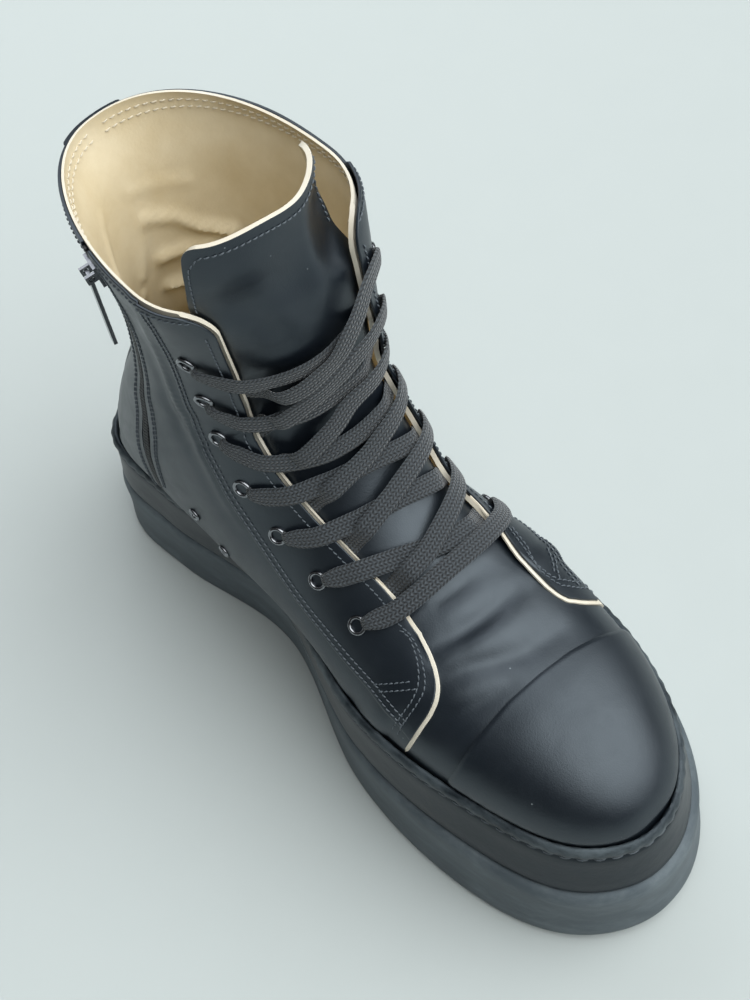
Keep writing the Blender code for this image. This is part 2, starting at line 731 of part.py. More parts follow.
def turned_ring(name, radius, hole, barrel, flange, depth, steps, finish):
    """A flanged metal ring: a profile turned about its axis, with its flange seated at height 0."""
    profile = [
        (barrel, 0.0), (barrel, -depth), (hole, -depth), (hole, flange * 0.7),
        (hole + (radius - hole) * 0.45, flange), (radius, flange * 0.45), (radius, 0.0),
    ]
    mesh = bpy.data.meshes.new(name)
    bm = bmesh.new()
    verts = [bm.verts.new((r, 0.0, z)) for r, z in profile]
    edges = [bm.edges.new((verts[i], verts[(i + 1) % len(verts)])) for i in range(len(verts))]
    bmesh.ops.spin(
        bm, geom=verts + edges, cent=(0, 0, 0), axis=(0, 0, 1), angle=2 * math.pi, steps=steps, use_merge=True
    )
    bmesh.ops.recalc_face_normals(bm, faces=bm.faces)
    bm.to_mesh(mesh)
    bm.free()
    mesh.materials.append(finish)
    mesh.shade_smooth()
    mesh.set_sharp_from_angle(angle=math.radians(50))
    return mesh


def hole_cutter(name, frames, radius, reach, cutters):
    bm = bmesh.new()
    for frame in frames:
        bmesh.ops.create_cone(
            bm, cap_ends=True, segments=8, radius1=radius, radius2=radius, depth=2 * reach, matrix=frame
        )
    return as_cutter(object_from(name, bm, None, cutters))


def make_eyelets(side, finish, group, cutters, upper, eyestay):
    seat = OVERLAY_GAP + OVERLAY + GAP
    mesh = turned_ring(
        "eyelet", EYELET_RADIUS, EYELET_HOLE, EYELET_BARREL, EYELET_FLANGE, seat + LEATHER * 0.8, 8, finish
    )
    frames = []
    for number, row in enumerate(eyelet_rows(side), 1):
        arc = side * (facing_arc(row, side) + EYELET_INSET)
        ring = bpy.data.objects.new(f"eyelet_{SIDES[side]}_{number}", mesh)
        group.objects.link(ring)
        ring.matrix_world = frame_on_wall(row, arc, seat + seat_rise(row, arc, EYELET_RADIUS))
        frames.append(frame_on_wall(row, arc, 0.0))
    clear = (EYELET_BARREL + GAP) / math.cos(math.pi / 8)
    holes = hole_cutter("eyelet_holes_" + SIDES[side], frames, clear, 0.0045, cutters)
    cut(upper, holes)
    cut(eyestay, holes)


def make_vents(finish, group, cutters, upper):
    mesh = turned_ring("vent", VENT_RADIUS, VENT_HOLE, VENT_BARREL, 0.0008, LEATHER * 0.8, 8, finish)
    frames = []
    for number, (x, z) in enumerate(VENTS, 1):
        row, arc = inner_side_at(x * SOLE_LENGTH, FEATHER + z * SHAFT_RISE)
        ring = bpy.data.objects.new(f"vent_{number}", mesh)
        group.objects.link(ring)
        ring.matrix_world = frame_on_wall(row, arc, GAP + seat_rise(row, arc, VENT_RADIUS))
        frames.append(frame_on_wall(row, arc, 0.0))
    clear = (VENT_BARREL + GAP) / math.cos(math.pi / 8)
    cut(upper, hole_cutter("vent_holes", frames, clear, 0.0045, cutters))


def ribbon(name, path, finish, group):
    """A flat lace strand along (point, normal) pairs: a closed band of LACE_WIDTH by LACE_THICKNESS."""
    bm = bmesh.new()
    rings = []
    for i, (point, normal) in enumerate(path):
        ahead = path[min(i + 1, len(path) - 1)][0] - path[max(i - 1, 0)][0]
        across = np.cross(normal, ahead)
        across *= LACE_WIDTH / 2 / np.linalg.norm(across)
        up = normal * LACE_THICKNESS / 2
        corners = (point - across - up, point + across - up, point + across + up, point - across + up)
        rings.append([bm.verts.new(Vector(corner + SHIFT)) for corner in corners])
    for one, two in zip(rings, rings[1:]):
        for i in range(4):
            j = (i + 1) % 4
            bm.faces.new([one[i], one[j], two[j], two[i]])
    bm.faces.new(rings[0][::-1])
    bm.faces.new(rings[-1])
    bmesh.ops.recalc_face_normals(bm, faces=bm.faces)
    return object_from(name, bm, finish, group)


# Height of a strand's middle over the upper's surface along its way, from under one facing to over the
# other. It clears the eyelets by the seat height and rises a little over the tongue.
OVER_EYELET = OVERLAY_GAP + OVERLAY + GAP + EYELET_FLANGE + GAP + LACE_THICKNESS / 2
UNDER_FACING = -LEATHER * 0.5
FACING_CLEARANCE = 0.0037
STRAND_SHARES = (0.0, 0.09, 0.18, 0.32, 0.50, 0.66, 0.79, 0.87, 0.94, 1.0)
STRAND_HEIGHTS = (
    UNDER_FACING, 0.0006, 0.0024, 0.0034, 0.0038, OVER_EYELET + 0.0006,
    OVER_EYELET + 0.0010, OVER_EYELET + 0.0010, OVER_EYELET + 0.0006, OVER_EYELET,
)
BAR_HEIGHTS = (
    OVER_EYELET, OVER_EYELET + 0.0009, OVER_EYELET + 0.0013, OVER_EYELET + 0.0019, OVER_EYELET + 0.0021,
    OVER_EYELET + 0.0019, OVER_EYELET + 0.0015, OVER_EYELET + 0.0012, OVER_EYELET + 0.0006, OVER_EYELET,
)


def strand_path(side, row_from, row_to, heights, from_over):
    """From one side's eyelet to the other side's, across the ridge."""
    inset = EYELET_INSET if from_over else -FACING_CLEARANCE
    start = side * (facing_arc(row_from, side) + inset)
    end = -side * (facing_arc(row_to, -side) + EYELET_INSET)
    rise = max(seat_rise(row_to, end, EYELET_RADIUS), seat_rise(row_from, start, EYELET_RADIUS) * from_over)
    path = []
    for share, height in zip(STRAND_SHARES, heights):
        arc = start + (end - start) * share
        row = row_from + (row_to - row_from) * share
        normal = wall_normal(row, arc)
        path.append((wall_at(row, arc) + normal * (height + rise * (share > 0.5 or from_over)), normal))
    return path


def make_laces(finish, group, cutters):
    rows = {side: eyelet_rows(side) for side in SIDES}
    bar = strand_path(MEDIAL, rows[MEDIAL][0], rows[LATERAL][0], BAR_HEIGHTS, True)
    ribbon("lace_bar", bar, finish, group)
    for i in range(EYELET_COUNT - 1):
        one = strand_path(MEDIAL, rows[MEDIAL][i], rows[LATERAL][i + 1], STRAND_HEIGHTS, False)
        two = strand_path(LATERAL, rows[LATERAL][i], rows[MEDIAL][i + 1], STRAND_HEIGHTS, False)
        strand = ribbon(f"lace_cross_{i + 1}", one, finish, group)
        cut(strand, as_cutter(ribbon(f"lace_over_{i + 1}", two, finish, cutters)), "UNION")


# Zip
def zip_line(samples):
    """Points down the zip from the collar: the surface point, its outward normal and the crosswise direction."""
    collar_z = FEATHER + SHAFT_RISE
    top_x = ZIP_TOP_X * SOLE_LENGTH
    bottom_x, bottom_z = ZIP_BOTTOM[0] * SOLE_LENGTH, FEATHER + ZIP_BOTTOM[1] * SHAFT_RISE
    points, arcs = half_section(COLLAR_ROW, MEDIAL)
    behind = arcs > 0.03
    top_z = float(np.interp(-top_x, -points[behind, 0], points[behind, 2]))
    line = []
    for share in samples:
        z = top_z + (bottom_z - top_z) * share
        x = top_x + (bottom_x - top_x) * share
        row, arc = inner_side_at(x, min(z, collar_z))
        line.append((wall_at(row, arc), wall_normal(min(row, COLLAR_ROW - 0.06), arc)))
    framed = []
    for i, (point, normal) in enumerate(line):
        down = line[min(i + 1, len(line) - 1)][0] - line[max(i - 1, 0)][0]
        down /= np.linalg.norm(down)
        across = np.cross(down, normal)
        across /= np.linalg.norm(across)
        framed.append((point, np.cross(across, down), across, down))
    return framed


def zip_slab(name, line, half, low, high, finish, group):
    """A strip down the zip line between two heights off the surface."""
    bm = bmesh.new()
    rings = []
    for point, normal, across, _ in line:
        corners = [(-half, low), (half, low), (half, high), (-half, high)]
        rings.append([bm.verts.new(Vector(point + across * a + normal * h + SHIFT)) for a, h in corners])
    for one, two in zip(rings, rings[1:]):
        for i in range(4):
            j = (i + 1) % 4
            bm.faces.new([one[i], one[j], two[j], two[i]])
    bm.faces.new(rings[0][::-1])
    bm.faces.new(rings[-1])
    bmesh.ops.recalc_face_normals(bm, faces=bm.faces)
    return object_from(name, bm, finish, group)


def make_zip(metal, tape, group, cutters, upper):
    line = zip_line(np.linspace(0, 1, ZIP_STATIONS))
    zip_slab("zip_chain", line, CHAIN_HALF, -CHAIN_DEPTH + CHAIN_PROUD, CHAIN_PROUD, tape, group)
    first, last = line[0], line[-1]
    above = (first[0] - first[3] * 0.02, *first[1:])
    below = (last[0] + last[3] * 2 * GAP, *last[1:])
    slot = zip_slab("zip_slot", [above, *line, below], CHAIN_HALF + 1.5 * GAP, -0.007, 0.006, None, cutters)
    cut(upper, as_cutter(slot))
    make_slider(line, metal, group, cutters)


def box(bm, size, centre):
    bmesh.ops.create_cube(bm, size=1.0, matrix=Matrix.Translation(Vector(centre)) @ Matrix.Diagonal((*size, 1.0)))


def slider_frame(line):
    """Placing matrix of the slider: X across the zip, Y down it, Z outward, with its seat on the chain."""
    travel = 0.0
    for one, two in zip(line, line[1:]):
        step = float(np.linalg.norm(two[0] - one[0]))
        if travel + step >= SLIDER_BELOW_COLLAR:
            share = (SLIDER_BELOW_COLLAR - travel) / step
            point = one[0] + (two[0] - one[0]) * share
            normal, across, down = one[1], one[2], one[3]
            break
        travel += step
    seat = point + normal * (CHAIN_PROUD + GAP) + SHIFT
    turn = Matrix([[*across], [*down], [*normal]]).transposed().to_4x4()
    return Matrix.Translation(Vector(seat)) @ turn


def make_slider(line, metal, group, cutters):
    """The slider with two ears, and the pull tab that hangs between them on its own pin."""
    frame = slider_frame(line)
    between = PULL_WIDTH + 2 * GAP
    pin_height = SLIDER_THICKNESS + EAR_RISE / 2
    bm = bmesh.new()
    box(bm, (SLIDER_WIDTH, SLIDER_LENGTH, SLIDER_THICKNESS), (0, 0, SLIDER_THICKNESS / 2))
    slider = object_from("zip_slider", bm, metal, group)
    bm = bmesh.new()
    for sign in (-1, 1):
        middle = sign * (between + EAR_THICKNESS) / 2
        box(bm, (EAR_THICKNESS, EAR_LENGTH, EAR_RISE + 0.0004), (middle, 0, SLIDER_THICKNESS + EAR_RISE / 2 - 0.0002))
    ears = as_cutter(object_from("slider_ears", bm, None, cutters))
    bm = bmesh.new()
    across = Matrix.Translation((0, 0, pin_height)) @ Matrix.Rotation(math.pi / 2, 4, "Y")
    bmesh.ops.create_cone(
        bm, cap_ends=True, segments=10, radius1=PIN_RADIUS + 1.5 * GAP, radius2=PIN_RADIUS + 1.5 * GAP,
        depth=between + 4 * EAR_THICKNESS, matrix=across,
    )
    bore = as_cutter(object_from("slider_bore", bm, None, cutters))
    for thing in (slider, ears, bore):
        thing.matrix_world = frame
    cut(slider, ears, "UNION")
    cut(slider, bore)

    pin_place = frame @ Vector((0, 0, pin_height))
    axis = (frame.to_3x3() @ Vector((1, 0, 0))).normalized()
    axis.z = 0.0
    axis.normalize()
    down = Vector((0, 0, -1))
    out = axis.cross(down)
    pull_frame = Matrix.Translation(pin_place) @ Matrix((axis, down, out)).transposed().to_4x4()
    bm = bmesh.new()
    box(bm, (PULL_WIDTH, PULL_LENGTH, PULL_THICKNESS), (0, PULL_LENGTH / 2 - PULL_THICKNESS / 2, 0))
    pull = object_from("zip_pull", bm, metal, group)
    bm = bmesh.new()
    bmesh.ops.create_cone(
        bm, cap_ends=True, segments=10, radius1=PIN_RADIUS, radius2=PIN_RADIUS,
        depth=between + 2 * EAR_THICKNESS, matrix=Matrix.Rotation(math.pi / 2, 4, "Y"),
    )
    pin = as_cutter(object_from("pull_pin", bm, None, cutters))
    for thing in (pull, pin):
        thing.matrix_world = pull_frame
    cut(pull, pin, "UNION")


def main():
    clear_scene()
    boot = new_collection("platform_boot")
    cutters = new_collection("cutters")
    leather = material("blue_black_leather", (0.018, 0.023, 0.029), 0.38)
    rubber = material("charcoal_rubber", (0.035, 0.042, 0.048), 0.55)
    tread = material("tread_rubber", (0.045, 0.05, 0.055), 0.7)
    lining = material("beige_lining", (0.6, 0.5, 0.36), 0.8)
    lace = material("charcoal_lace", (0.025, 0.027, 0.03), 0.85)
    metal = material("black_nickel", (0.08, 0.08, 0.085), 0.3, 1.0)

    make_outsole(tread, boot, cutters)
    make_platform(rubber, boot)
    make_foxing(rubber, boot)
    make_insole(lining, boot)
    upper = make_upper(leather, boot)
    make_toe_cap(leather, boot)
    for side in SIDES:
        eyestay = make_eyestay(side, leather, boot)
        make_eyelets(side, metal, boot, cutters, upper, eyestay)
    make_heel_strip(leather, boot)
    make_tongue(leather, boot)
    make_vents(metal, boot, cutters, upper)
    make_zip(metal, lace, boot, cutters, upper)
    make_laces(lace, boot, cutters)


main()
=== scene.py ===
# %% [markdown]
# # Dressing a left platform boot
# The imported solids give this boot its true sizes, but they are cut coarsely. Here nearly every visible piece
# is made again as a fine mesh over the same measured surface, and gets the material that the real piece has:
# blue-black calf, undyed lining, charcoal rubber, flat woven lace and blackened metal.

# %% Load the frame
import math

import bmesh
import bpy
import numpy as np
from mathutils import Matrix, Vector, noise


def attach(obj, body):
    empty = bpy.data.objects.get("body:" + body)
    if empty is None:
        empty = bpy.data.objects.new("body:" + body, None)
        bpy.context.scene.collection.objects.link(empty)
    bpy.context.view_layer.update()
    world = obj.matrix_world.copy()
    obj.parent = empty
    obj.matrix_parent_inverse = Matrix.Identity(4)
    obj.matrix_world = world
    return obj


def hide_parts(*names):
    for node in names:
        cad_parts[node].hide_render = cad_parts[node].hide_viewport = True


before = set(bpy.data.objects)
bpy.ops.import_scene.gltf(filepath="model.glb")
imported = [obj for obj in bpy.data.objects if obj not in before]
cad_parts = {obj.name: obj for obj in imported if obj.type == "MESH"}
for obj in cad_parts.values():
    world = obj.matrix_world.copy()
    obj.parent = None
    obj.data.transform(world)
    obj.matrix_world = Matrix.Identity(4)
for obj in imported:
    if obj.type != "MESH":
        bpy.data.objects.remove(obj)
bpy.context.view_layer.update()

# %% [markdown]
# ## Camera
# The photograph looks down on the boot from in front of its inner side. The camera stands at that same point
# and is turned to the middle of the boot, for a viewpoint fixes the perspective and a turn only frames it.

# %% Camera
CAMERA_PLACE = Vector((0.2445, -0.18185, 0.6423))
CAMERA_RIGHT = Vector((0.6888, 0.7103, -0.1452))
CAMERA_UP = Vector((-0.6130, 0.6775, 0.4064))
AIM_RIGHT, AIM_UP = 0.0605, 0.1100
LENS_MM = 58.0

camera_data = bpy.data.cameras.new("camera")
camera_data.lens = LENS_MM
camera_data.sensor_width = 36
camera_data.clip_start = 0.01
camera = bpy.data.objects.new("camera", camera_data)
bpy.context.scene.collection.objects.link(camera)
bpy.context.scene.camera = camera
photo_ahead = -CAMERA_RIGHT.cross(CAMERA_UP).normalized()
ahead = (photo_ahead + AIM_RIGHT * CAMERA_RIGHT + AIM_UP * CAMERA_UP).normalized()
right = ahead.cross(CAMERA_UP).normalized()
up = right.cross(ahead)
camera.matrix_world = Matrix.Translation(CAMERA_PLACE) @ Matrix((right, up, -ahead)).transposed().to_4x4()
print("camera looks along", tuple(round(v, 3) for v in ahead))

# %% [markdown]
# ## One helper for nodes
# A material is a small network. add_node makes one node with its settings, its values and its links. The
# short functions after it name the steps that every finish here is mixed from: soft noise, a stretched range,
# two colours mixed, and relief.

# %% Node helper
def linear(code):
    """sRGB hex to the linear colour that the shaders want."""
    parts = [int(code[i:i + 2], 16) / 255 for i in (1, 3, 5)]
    return tuple(p / 12.92 if p <= 0.04045 else ((p + 0.055) / 1.055) ** 2.4 for p in parts) + (1.0,)


def add_node(tree, kind, settings=None, values=None, links=None):
    node = tree.nodes.new(kind)
    for key, value in (settings or {}).items():
        setattr(node, key, value)
    for key, value in (values or {}).items():
        node.inputs[key].default_value = value
    for key, source in (links or {}).items():
        tree.links.new(source, node.inputs[key])
    return node


def cloud(tree, place, scale, detail, roughness=0.5, distortion=0.0):
    """Soft noise with scale features to the metre."""
    values = {"Scale": scale, "Detail": detail, "Roughness": roughness, "Distortion": distortion}
    return add_node(tree, "ShaderNodeTexNoise", None, values, {"Vector": place}).outputs["Fac"]


def spread(tree, source, low, high, to_low=0.0, to_high=1.0, settings=None):
    """Stretches the source's range low..high to to_low..to_high."""
    values = {"From Min": low, "From Max": high, "To Min": to_low, "To Max": to_high}
    return add_node(tree, "ShaderNodeMapRange", settings, values, {"Value": source}).outputs["Result"]


def mixed(tree, factor, base, over):
    """A colour between base, which is a hex code or a socket, and the hex code over."""
    node = add_node(tree, "ShaderNodeMix", {"data_type": "RGBA"}, {7: linear(over)}, {0: factor})
    if isinstance(base, str):
        node.inputs[6].default_value = linear(base)
    else:
        tree.links.new(base, node.inputs[6])
    return node.outputs[2]


def relief(tree, height, strength, distance, under=None):
    """Bumps of a height socket, up to distance metres, over another relief if one is given."""
    values = {"Strength": strength, "Distance": distance}
    links = {"Height": height, **({"Normal": under} if under else {})}
    return add_node(tree, "ShaderNodeBump", None, values, links).outputs["Normal"]


def new_finish(name, roughness=0.5, metallic=0.0, colour="#808080"):
    """An empty finish: its tree, its shader and the object's own coordinates, in metres."""
    finish = bpy.data.materials.new(name)
    finish.use_nodes = True
    tree = finish.node_tree
    shader = tree.nodes["Principled BSDF"]
    shader.inputs["Roughness"].default_value = roughness
    shader.inputs["Metallic"].default_value = metallic
    shader.inputs["Base Color"].default_value = linear(colour)
    return finish, tree, shader, add_node(tree, "ShaderNodeTexCoord").outputs["Object"]


def complete(finish, sources, values=None):
    """Feeds the shader's sockets, by links and by plain values."""
    shader = finish.node_tree.nodes["Principled BSDF"]
    for socket, source in sources.items():
        finish.node_tree.links.new(source, shader.inputs[socket])
    for socket, value in (values or {}).items():
        shader.inputs[socket].default_value = value
    return finish


# %% [markdown]
# ## Light
# The light comes from a wide bright patch of ceiling, a little to the front and the outer side, and one soft
# window behind. Black leather shows little but what it reflects, so the vamp turns grey under that ceiling,
# and the inner wall, which sees the rest of the room, stays dark.

# %% Light
CEILING, REST_OF_ROOM = 4.0, 0.09
BRIGHTEST_WAY = Vector((0.40, 0.33, 0.86)).normalized()
PATCH_EDGE, PATCH_MIDDLE = 0.56, 0.98

world = bpy.data.worlds.new("bright_ceiling")
world.use_nodes = True
sky = world.node_tree
way = add_node(sky, "ShaderNodeTexCoord").outputs["Generated"]
toward = add_node(sky, "ShaderNodeVectorMath", {"operation": "DOT_PRODUCT"}, {1: BRIGHTEST_WAY}, {0: way})
smooth = {"interpolation_type": "SMOOTHSTEP"}
ceiling = spread(sky, toward.outputs["Value"], PATCH_EDGE, PATCH_MIDDLE, REST_OF_ROOM, CEILING, smooth)
sky.links.new(ceiling, sky.nodes["Background"].inputs["Strength"])
sky.nodes["Background"].inputs["Color"].default_value = linear("#f3f6f6")
bpy.context.scene.world = world

window_data = bpy.data.lights.new("window_behind", "AREA")
window_data.shape = "RECTANGLE"
window_data.size, window_data.size_y = 0.8, 0.7
window_data.energy = 4.5
window_data.color = linear("#f6faff")[:3]
window = bpy.data.objects.new("window_behind", window_data)
bpy.context.scene.collection.objects.link(window)
window.location = (-0.75, 0.35, 1.15)
window.rotation_mode = "QUATERNION"
window.rotation_quaternion = (Vector((0.0, 0.0, 0.1)) - window.location).to_track_quat("-Z", "Y")
bpy.context.scene.view_settings.view_transform = "Standard"

# %% [markdown]
# ## Finishes
# **Aniline calf.** Smooth leather that was dyed through and then waxed. Its grain is only some 0.5 mm across
# and very shallow; what the eye sees is a broad grey sheen that breaks up where the hide is worked. So the
# colour hardly varies, and the roughness does, in soft patches. A few pale specks are dust.

# %% Leather
finish, tree, shader, place = new_finish("aniline_calf")
shade = mixed(tree, cloud(tree, place, 22.0, 4.0, 0.55), "#090d13", "#141b23")
specks = add_node(tree, "ShaderNodeTexVoronoi", None, {"Scale": 95.0, "Randomness": 1.0}, {"Vector": place})
dust = spread(tree, specks.outputs["Distance"], 0.035, 0.02, 0.0, 0.55)
smears = cloud(tree, place, 70.0, 5.0, 0.62, 0.6)
cells = {"Scale": 1900.0, "Smoothness": 0.7}
grain = add_node(tree, "ShaderNodeTexVoronoi", {"feature": "SMOOTH_F1"}, cells, {"Vector": place})
fine = relief(tree, grain.outputs["Distance"], 0.10, 0.0003)
calf_leather = complete(finish, {
    "Base Color": mixed(tree, dust, shade, "#98a1a4"),
    "Roughness": spread(tree, smears, 0.3, 0.7, 0.33, 0.43),
    "Normal": relief(tree, cloud(tree, place, 240.0, 6.0, 0.6), 0.07, 0.0007, fine),
}, {"IOR": 1.5, "Specular IOR Level": 0.95, "Specular Tint": linear("#d3e0ea")})
print("made", calf_leather.name)

# %% [markdown]
# **Undyed lining and its cut edge.** The lining is vegetable-tanned skin in its own beige, soft and matte, a
# little darker where a foot has rubbed it. Where it is cut it shows a much paler edge, and that edge draws
# the thin pale line round every opening of this boot.

# %% Lining and cut edge
def undyed_skin(name, clean, rubbed, bump):
    finish, tree, shader, place = new_finish(name, roughness=0.72)
    wear = spread(tree, cloud(tree, place, 30.0, 6.0, 0.6), 0.35, 0.72)
    pores = cloud(tree, place, 900.0, 3.0)
    return complete(finish, {
        "Base Color": mixed(tree, wear, clean, rubbed), "Normal": relief(tree, pores, bump, 0.0004),
    })


lining_skin = undyed_skin("vegetable_tanned_lining", "#dccfb2", "#cab995", 0.25)
cut_edge = undyed_skin("cut_lining_edge", "#e2dccd", "#d3c9b5", 0.15)
print("made", lining_skin.name, "and", cut_edge.name)

# %% [markdown]
# ** Moulded rubber.** Charcoal rubber with a dull skin from the mould. Dust sits on it and makes it paler and
# rougher in long faint smears, more on the lower band, which meets the ground. The rolled rim is a paler
# copy: partly dust and scuffs, and partly a painted highlight along its top.

# %% Rubber
def moulded_rubber(name, clean, dust_and_highlight_colour, dust, roughness):
    finish, tree, shader, place = new_finish(name)
    stretched = add_node(tree, "ShaderNodeMapping", None, {"Scale": (1.0, 1.0, 2.6)}, {"Vector": place})
    smears = cloud(tree, stretched.outputs["Vector"], 38.0, 9.0, 0.7, 0.25)
    amount = spread(tree, smears, 0.42, 0.78, 0.0, dust)
    fine = relief(tree, cloud(tree, place, 700.0, 5.0), 0.12, 0.0004)
    return complete(finish, {
        "Base Color": mixed(tree, amount, clean, dust_and_highlight_colour),
        "Roughness": spread(tree, amount, 0.0, 1.0, roughness, roughness + 0.25),
        "Normal": relief(tree, cloud(tree, place, 60.0, 3.0), 0.2, 0.0015, fine),
    }, {"Specular IOR Level": 0.45, "Specular Tint": linear("#c9d7e2")})


band_rubber = moulded_rubber("moulded_rubber_band", "#080d14", "#1f2931", 0.4, 0.34)
base_rubber = moulded_rubber("moulded_rubber_base", "#4a5257", "#788185", 0.8, 0.52)
# The rim's paler colour is partly scuffs and dust and partly a painted highlight on its rolled top.
rim_rubber = moulded_rubber("rim_rubber_scuffs_and_painted_highlight", "#171d22", "#6d777c", 0.8, 0.42)
tread_rubber = moulded_rubber("tread_rubber", "#343a3d", "#7b8182", 0.7, 0.62)
print("made", band_rubber.name, rim_rubber.name, base_rubber.name, tread_rubber.name)

# %% [markdown]
# **Flat woven lace.** A tube of polyester braid pressed flat, 8 mm wide. Its yarns cross as small chevrons.
# The pattern follows the lace's own length and width, which the mesh carries as a UV map in millimetres.

# %% Lace weave
YARN_LENGTH, RIB_WIDTH = 1.7, 1.36  # millimetres


def math_step(tree, operation, first, second=None):
    """One sum; second is a number, a socket or nothing."""
    given = {} if second is None else {1: second}
    values, links = (given, {0: first}) if isinstance(second, float) else ({}, {0: first, **given})
    return add_node(tree, "ShaderNodeMath", {"operation": operation}, values, links).outputs["Value"]


finish, tree, shader, _ = new_finish("flat_woven_polyester", roughness=0.78)
along_lace = add_node(tree, "ShaderNodeUVMap").outputs["UV"]
apart = add_node(tree, "ShaderNodeSeparateXYZ", links={"Vector": along_lace}).outputs
slant = math_step(tree, "ADD", apart["X"], math_step(tree, "PINGPONG", apart["Y"], RIB_WIDTH))
yarn = math_step(tree, "SINE", math_step(tree, "MULTIPLY", slant, 2 * math.pi / YARN_LENGTH))
rib = math_step(tree, "COSINE", math_step(tree, "MULTIPLY", apart["Y"], 2 * math.pi / RIB_WIDTH))
level = spread(tree, math_step(tree, "ADD", yarn, rib), -2.0, 2.0)
# Colour follows the weave's height: the yarn tops have the lace's own charcoal, and the near-black in the
# hollows between yarns is painted shade.
lace_weave = complete(finish, {
    "Base Color": mixed(tree, level, "#08090b", "#434a50"), "Normal": relief(tree, level, 1.0, 0.0005),
}, {"Sheen Weight": 0.25, "Sheen Roughness": 0.5})
print("made", lace_weave.name)

# %% Thread, metal, zip and paper
def plain_finish(name, colour, roughness, metallic, bump, scale):
    finish, tree, shader, place = new_finish(name, roughness, metallic, colour)
    marks = cloud(tree, place, scale, 4.0)
    return complete(finish, {
        "Roughness": spread(tree, marks, 0.0, 1.0, roughness * 0.75, roughness * 1.3),
        "Normal": relief(tree, marks, bump, 0.0003),
    })


# The seam thread itself is dark charcoal; this mid grey is lighter, a painted sheen over its own colour.
seam_thread = plain_finish("bonded_nylon_thread", "#535b62", 0.45, 0.0, 0.5, 3000.0)
lining_thread = plain_finish("white_thread", "#d6cdb9", 0.7, 0.0, 0.5, 3000.0)
black_nickel = plain_finish("black_nickel", "#85878b", 0.2, 1.0, 0.05, 600.0)
zip_coil = plain_finish("nylon_zip_coil", "#15171a", 0.42, 0.0, 0.2, 1500.0)
zip_cloth = plain_finish("woven_zip_tape", "#111315", 0.9, 0.0, 0.8, 2200.0)
studio_paper = plain_finish("studio_paper", "#b5bcbb", 0.85, 0.0, 0.02, 40.0)
print("finishes:", len(bpy.data.materials))

# %% Paper floor
PAPER_REACH = 4

floor_mesh = bpy.data.meshes.new("paper")
corners = [(-1, -1, 0), (1, -1, 0), (1, 1, 0), (-1, 1, 0)]
floor_mesh.from_pydata([(PAPER_REACH * x, PAPER_REACH * y, z) for x, y, z in corners], [], [(0, 1, 2, 3)])
paper = bpy.data.objects.new("paper_floor", floor_mesh)
floor_mesh.materials.append(studio_paper)
bpy.context.scene.collection.objects.link(paper)
print("floor under z =", paper.location.z)

# %% [markdown]
# ## The shape of the boot
# These sizes and tables are those that the solids were made from, so every piece made here lies where its
# solid lies. The outline table gives the sole's half widths; the section table gives slanting cuts through
# the upper, from the toe over the ridge to the collar and on up the tongue.

# %% Sizes
SOLE_LENGTH = 0.316
BALL_WIDTH = 0.117
SHAFT_RISE = 0.163
TOE_SWING = 0.0058
OUTLINE_ROUNDNESS = 0.85
TOE_SPRING = 0.0045
SPRING_START = 0.80
PLATFORM_TOP = 0.039
FOXING_RISE = 0.0295
RIM_RISE = 0.0035
RIM_THICKNESS = 0.0022
WELL_DEPTH = 0.0025
GAP = 0.0003
WALL_GAP = 0.0009
OVERLAY_GAP = 0.00055
FACING_HALF_GAP = 0.029
EYELET_INSET = 0.0165
EYELET_PITCH = 0.0228
EYELET_COUNT = 7
FOXING_TOP = PLATFORM_TOP + FOXING_RISE
RIM_TOP = FOXING_TOP + RIM_RISE
WELL_FLOOR = FOXING_TOP - WELL_DEPTH
FEATHER = WELL_FLOOR + 4 * GAP
ARC_SAMPLES = 80
print("the boot stands", round((FEATHER + SHAFT_RISE) * 1000), "mm tall at the collar")

# %% Tables
# The sole seen from above. along runs from the heel (0) to the toe (1) as an angle, so that both ends are
# round; medial and lateral are half widths as shares of BALL_WIDTH; the last two scale how far the bands
# step in on each side, and at the inner waist they do not step in at all.
OUTLINE_COLUMNS = ("along", "medial", "lateral", "step_medial", "step_lateral")
OUTLINE = (
    (0.00, 0.384, 0.385, 0.64, 0.64),
    (0.05, 0.420, 0.415, 0.64, 0.64),
    (0.14, 0.500, 0.460, 0.40, 0.55),
    (0.28, 0.356, 0.430, 0.20, 0.60),
    (0.42, 0.226, 0.430, -0.10, 0.85),
    (0.56, 0.442, 0.562, 0.35, 1.00),
    (0.70, 0.549, 0.626, 0.95, 1.00),
    (0.84, 0.598, 0.618, 1.00, 1.00),
    (1.00, 0.503, 0.509, 1.00, 1.00),
)

# How far each line of the sole's side steps in from its bottom edge, at the heel and at the toe.
STEPS_IN = {
    "floor": (0.0, 0.0),
    "platform_top": (0.0037, 0.0026),
    "foxing_bottom": (0.0070, 0.0056),
    "foxing_top": (0.0130, 0.0108),
}

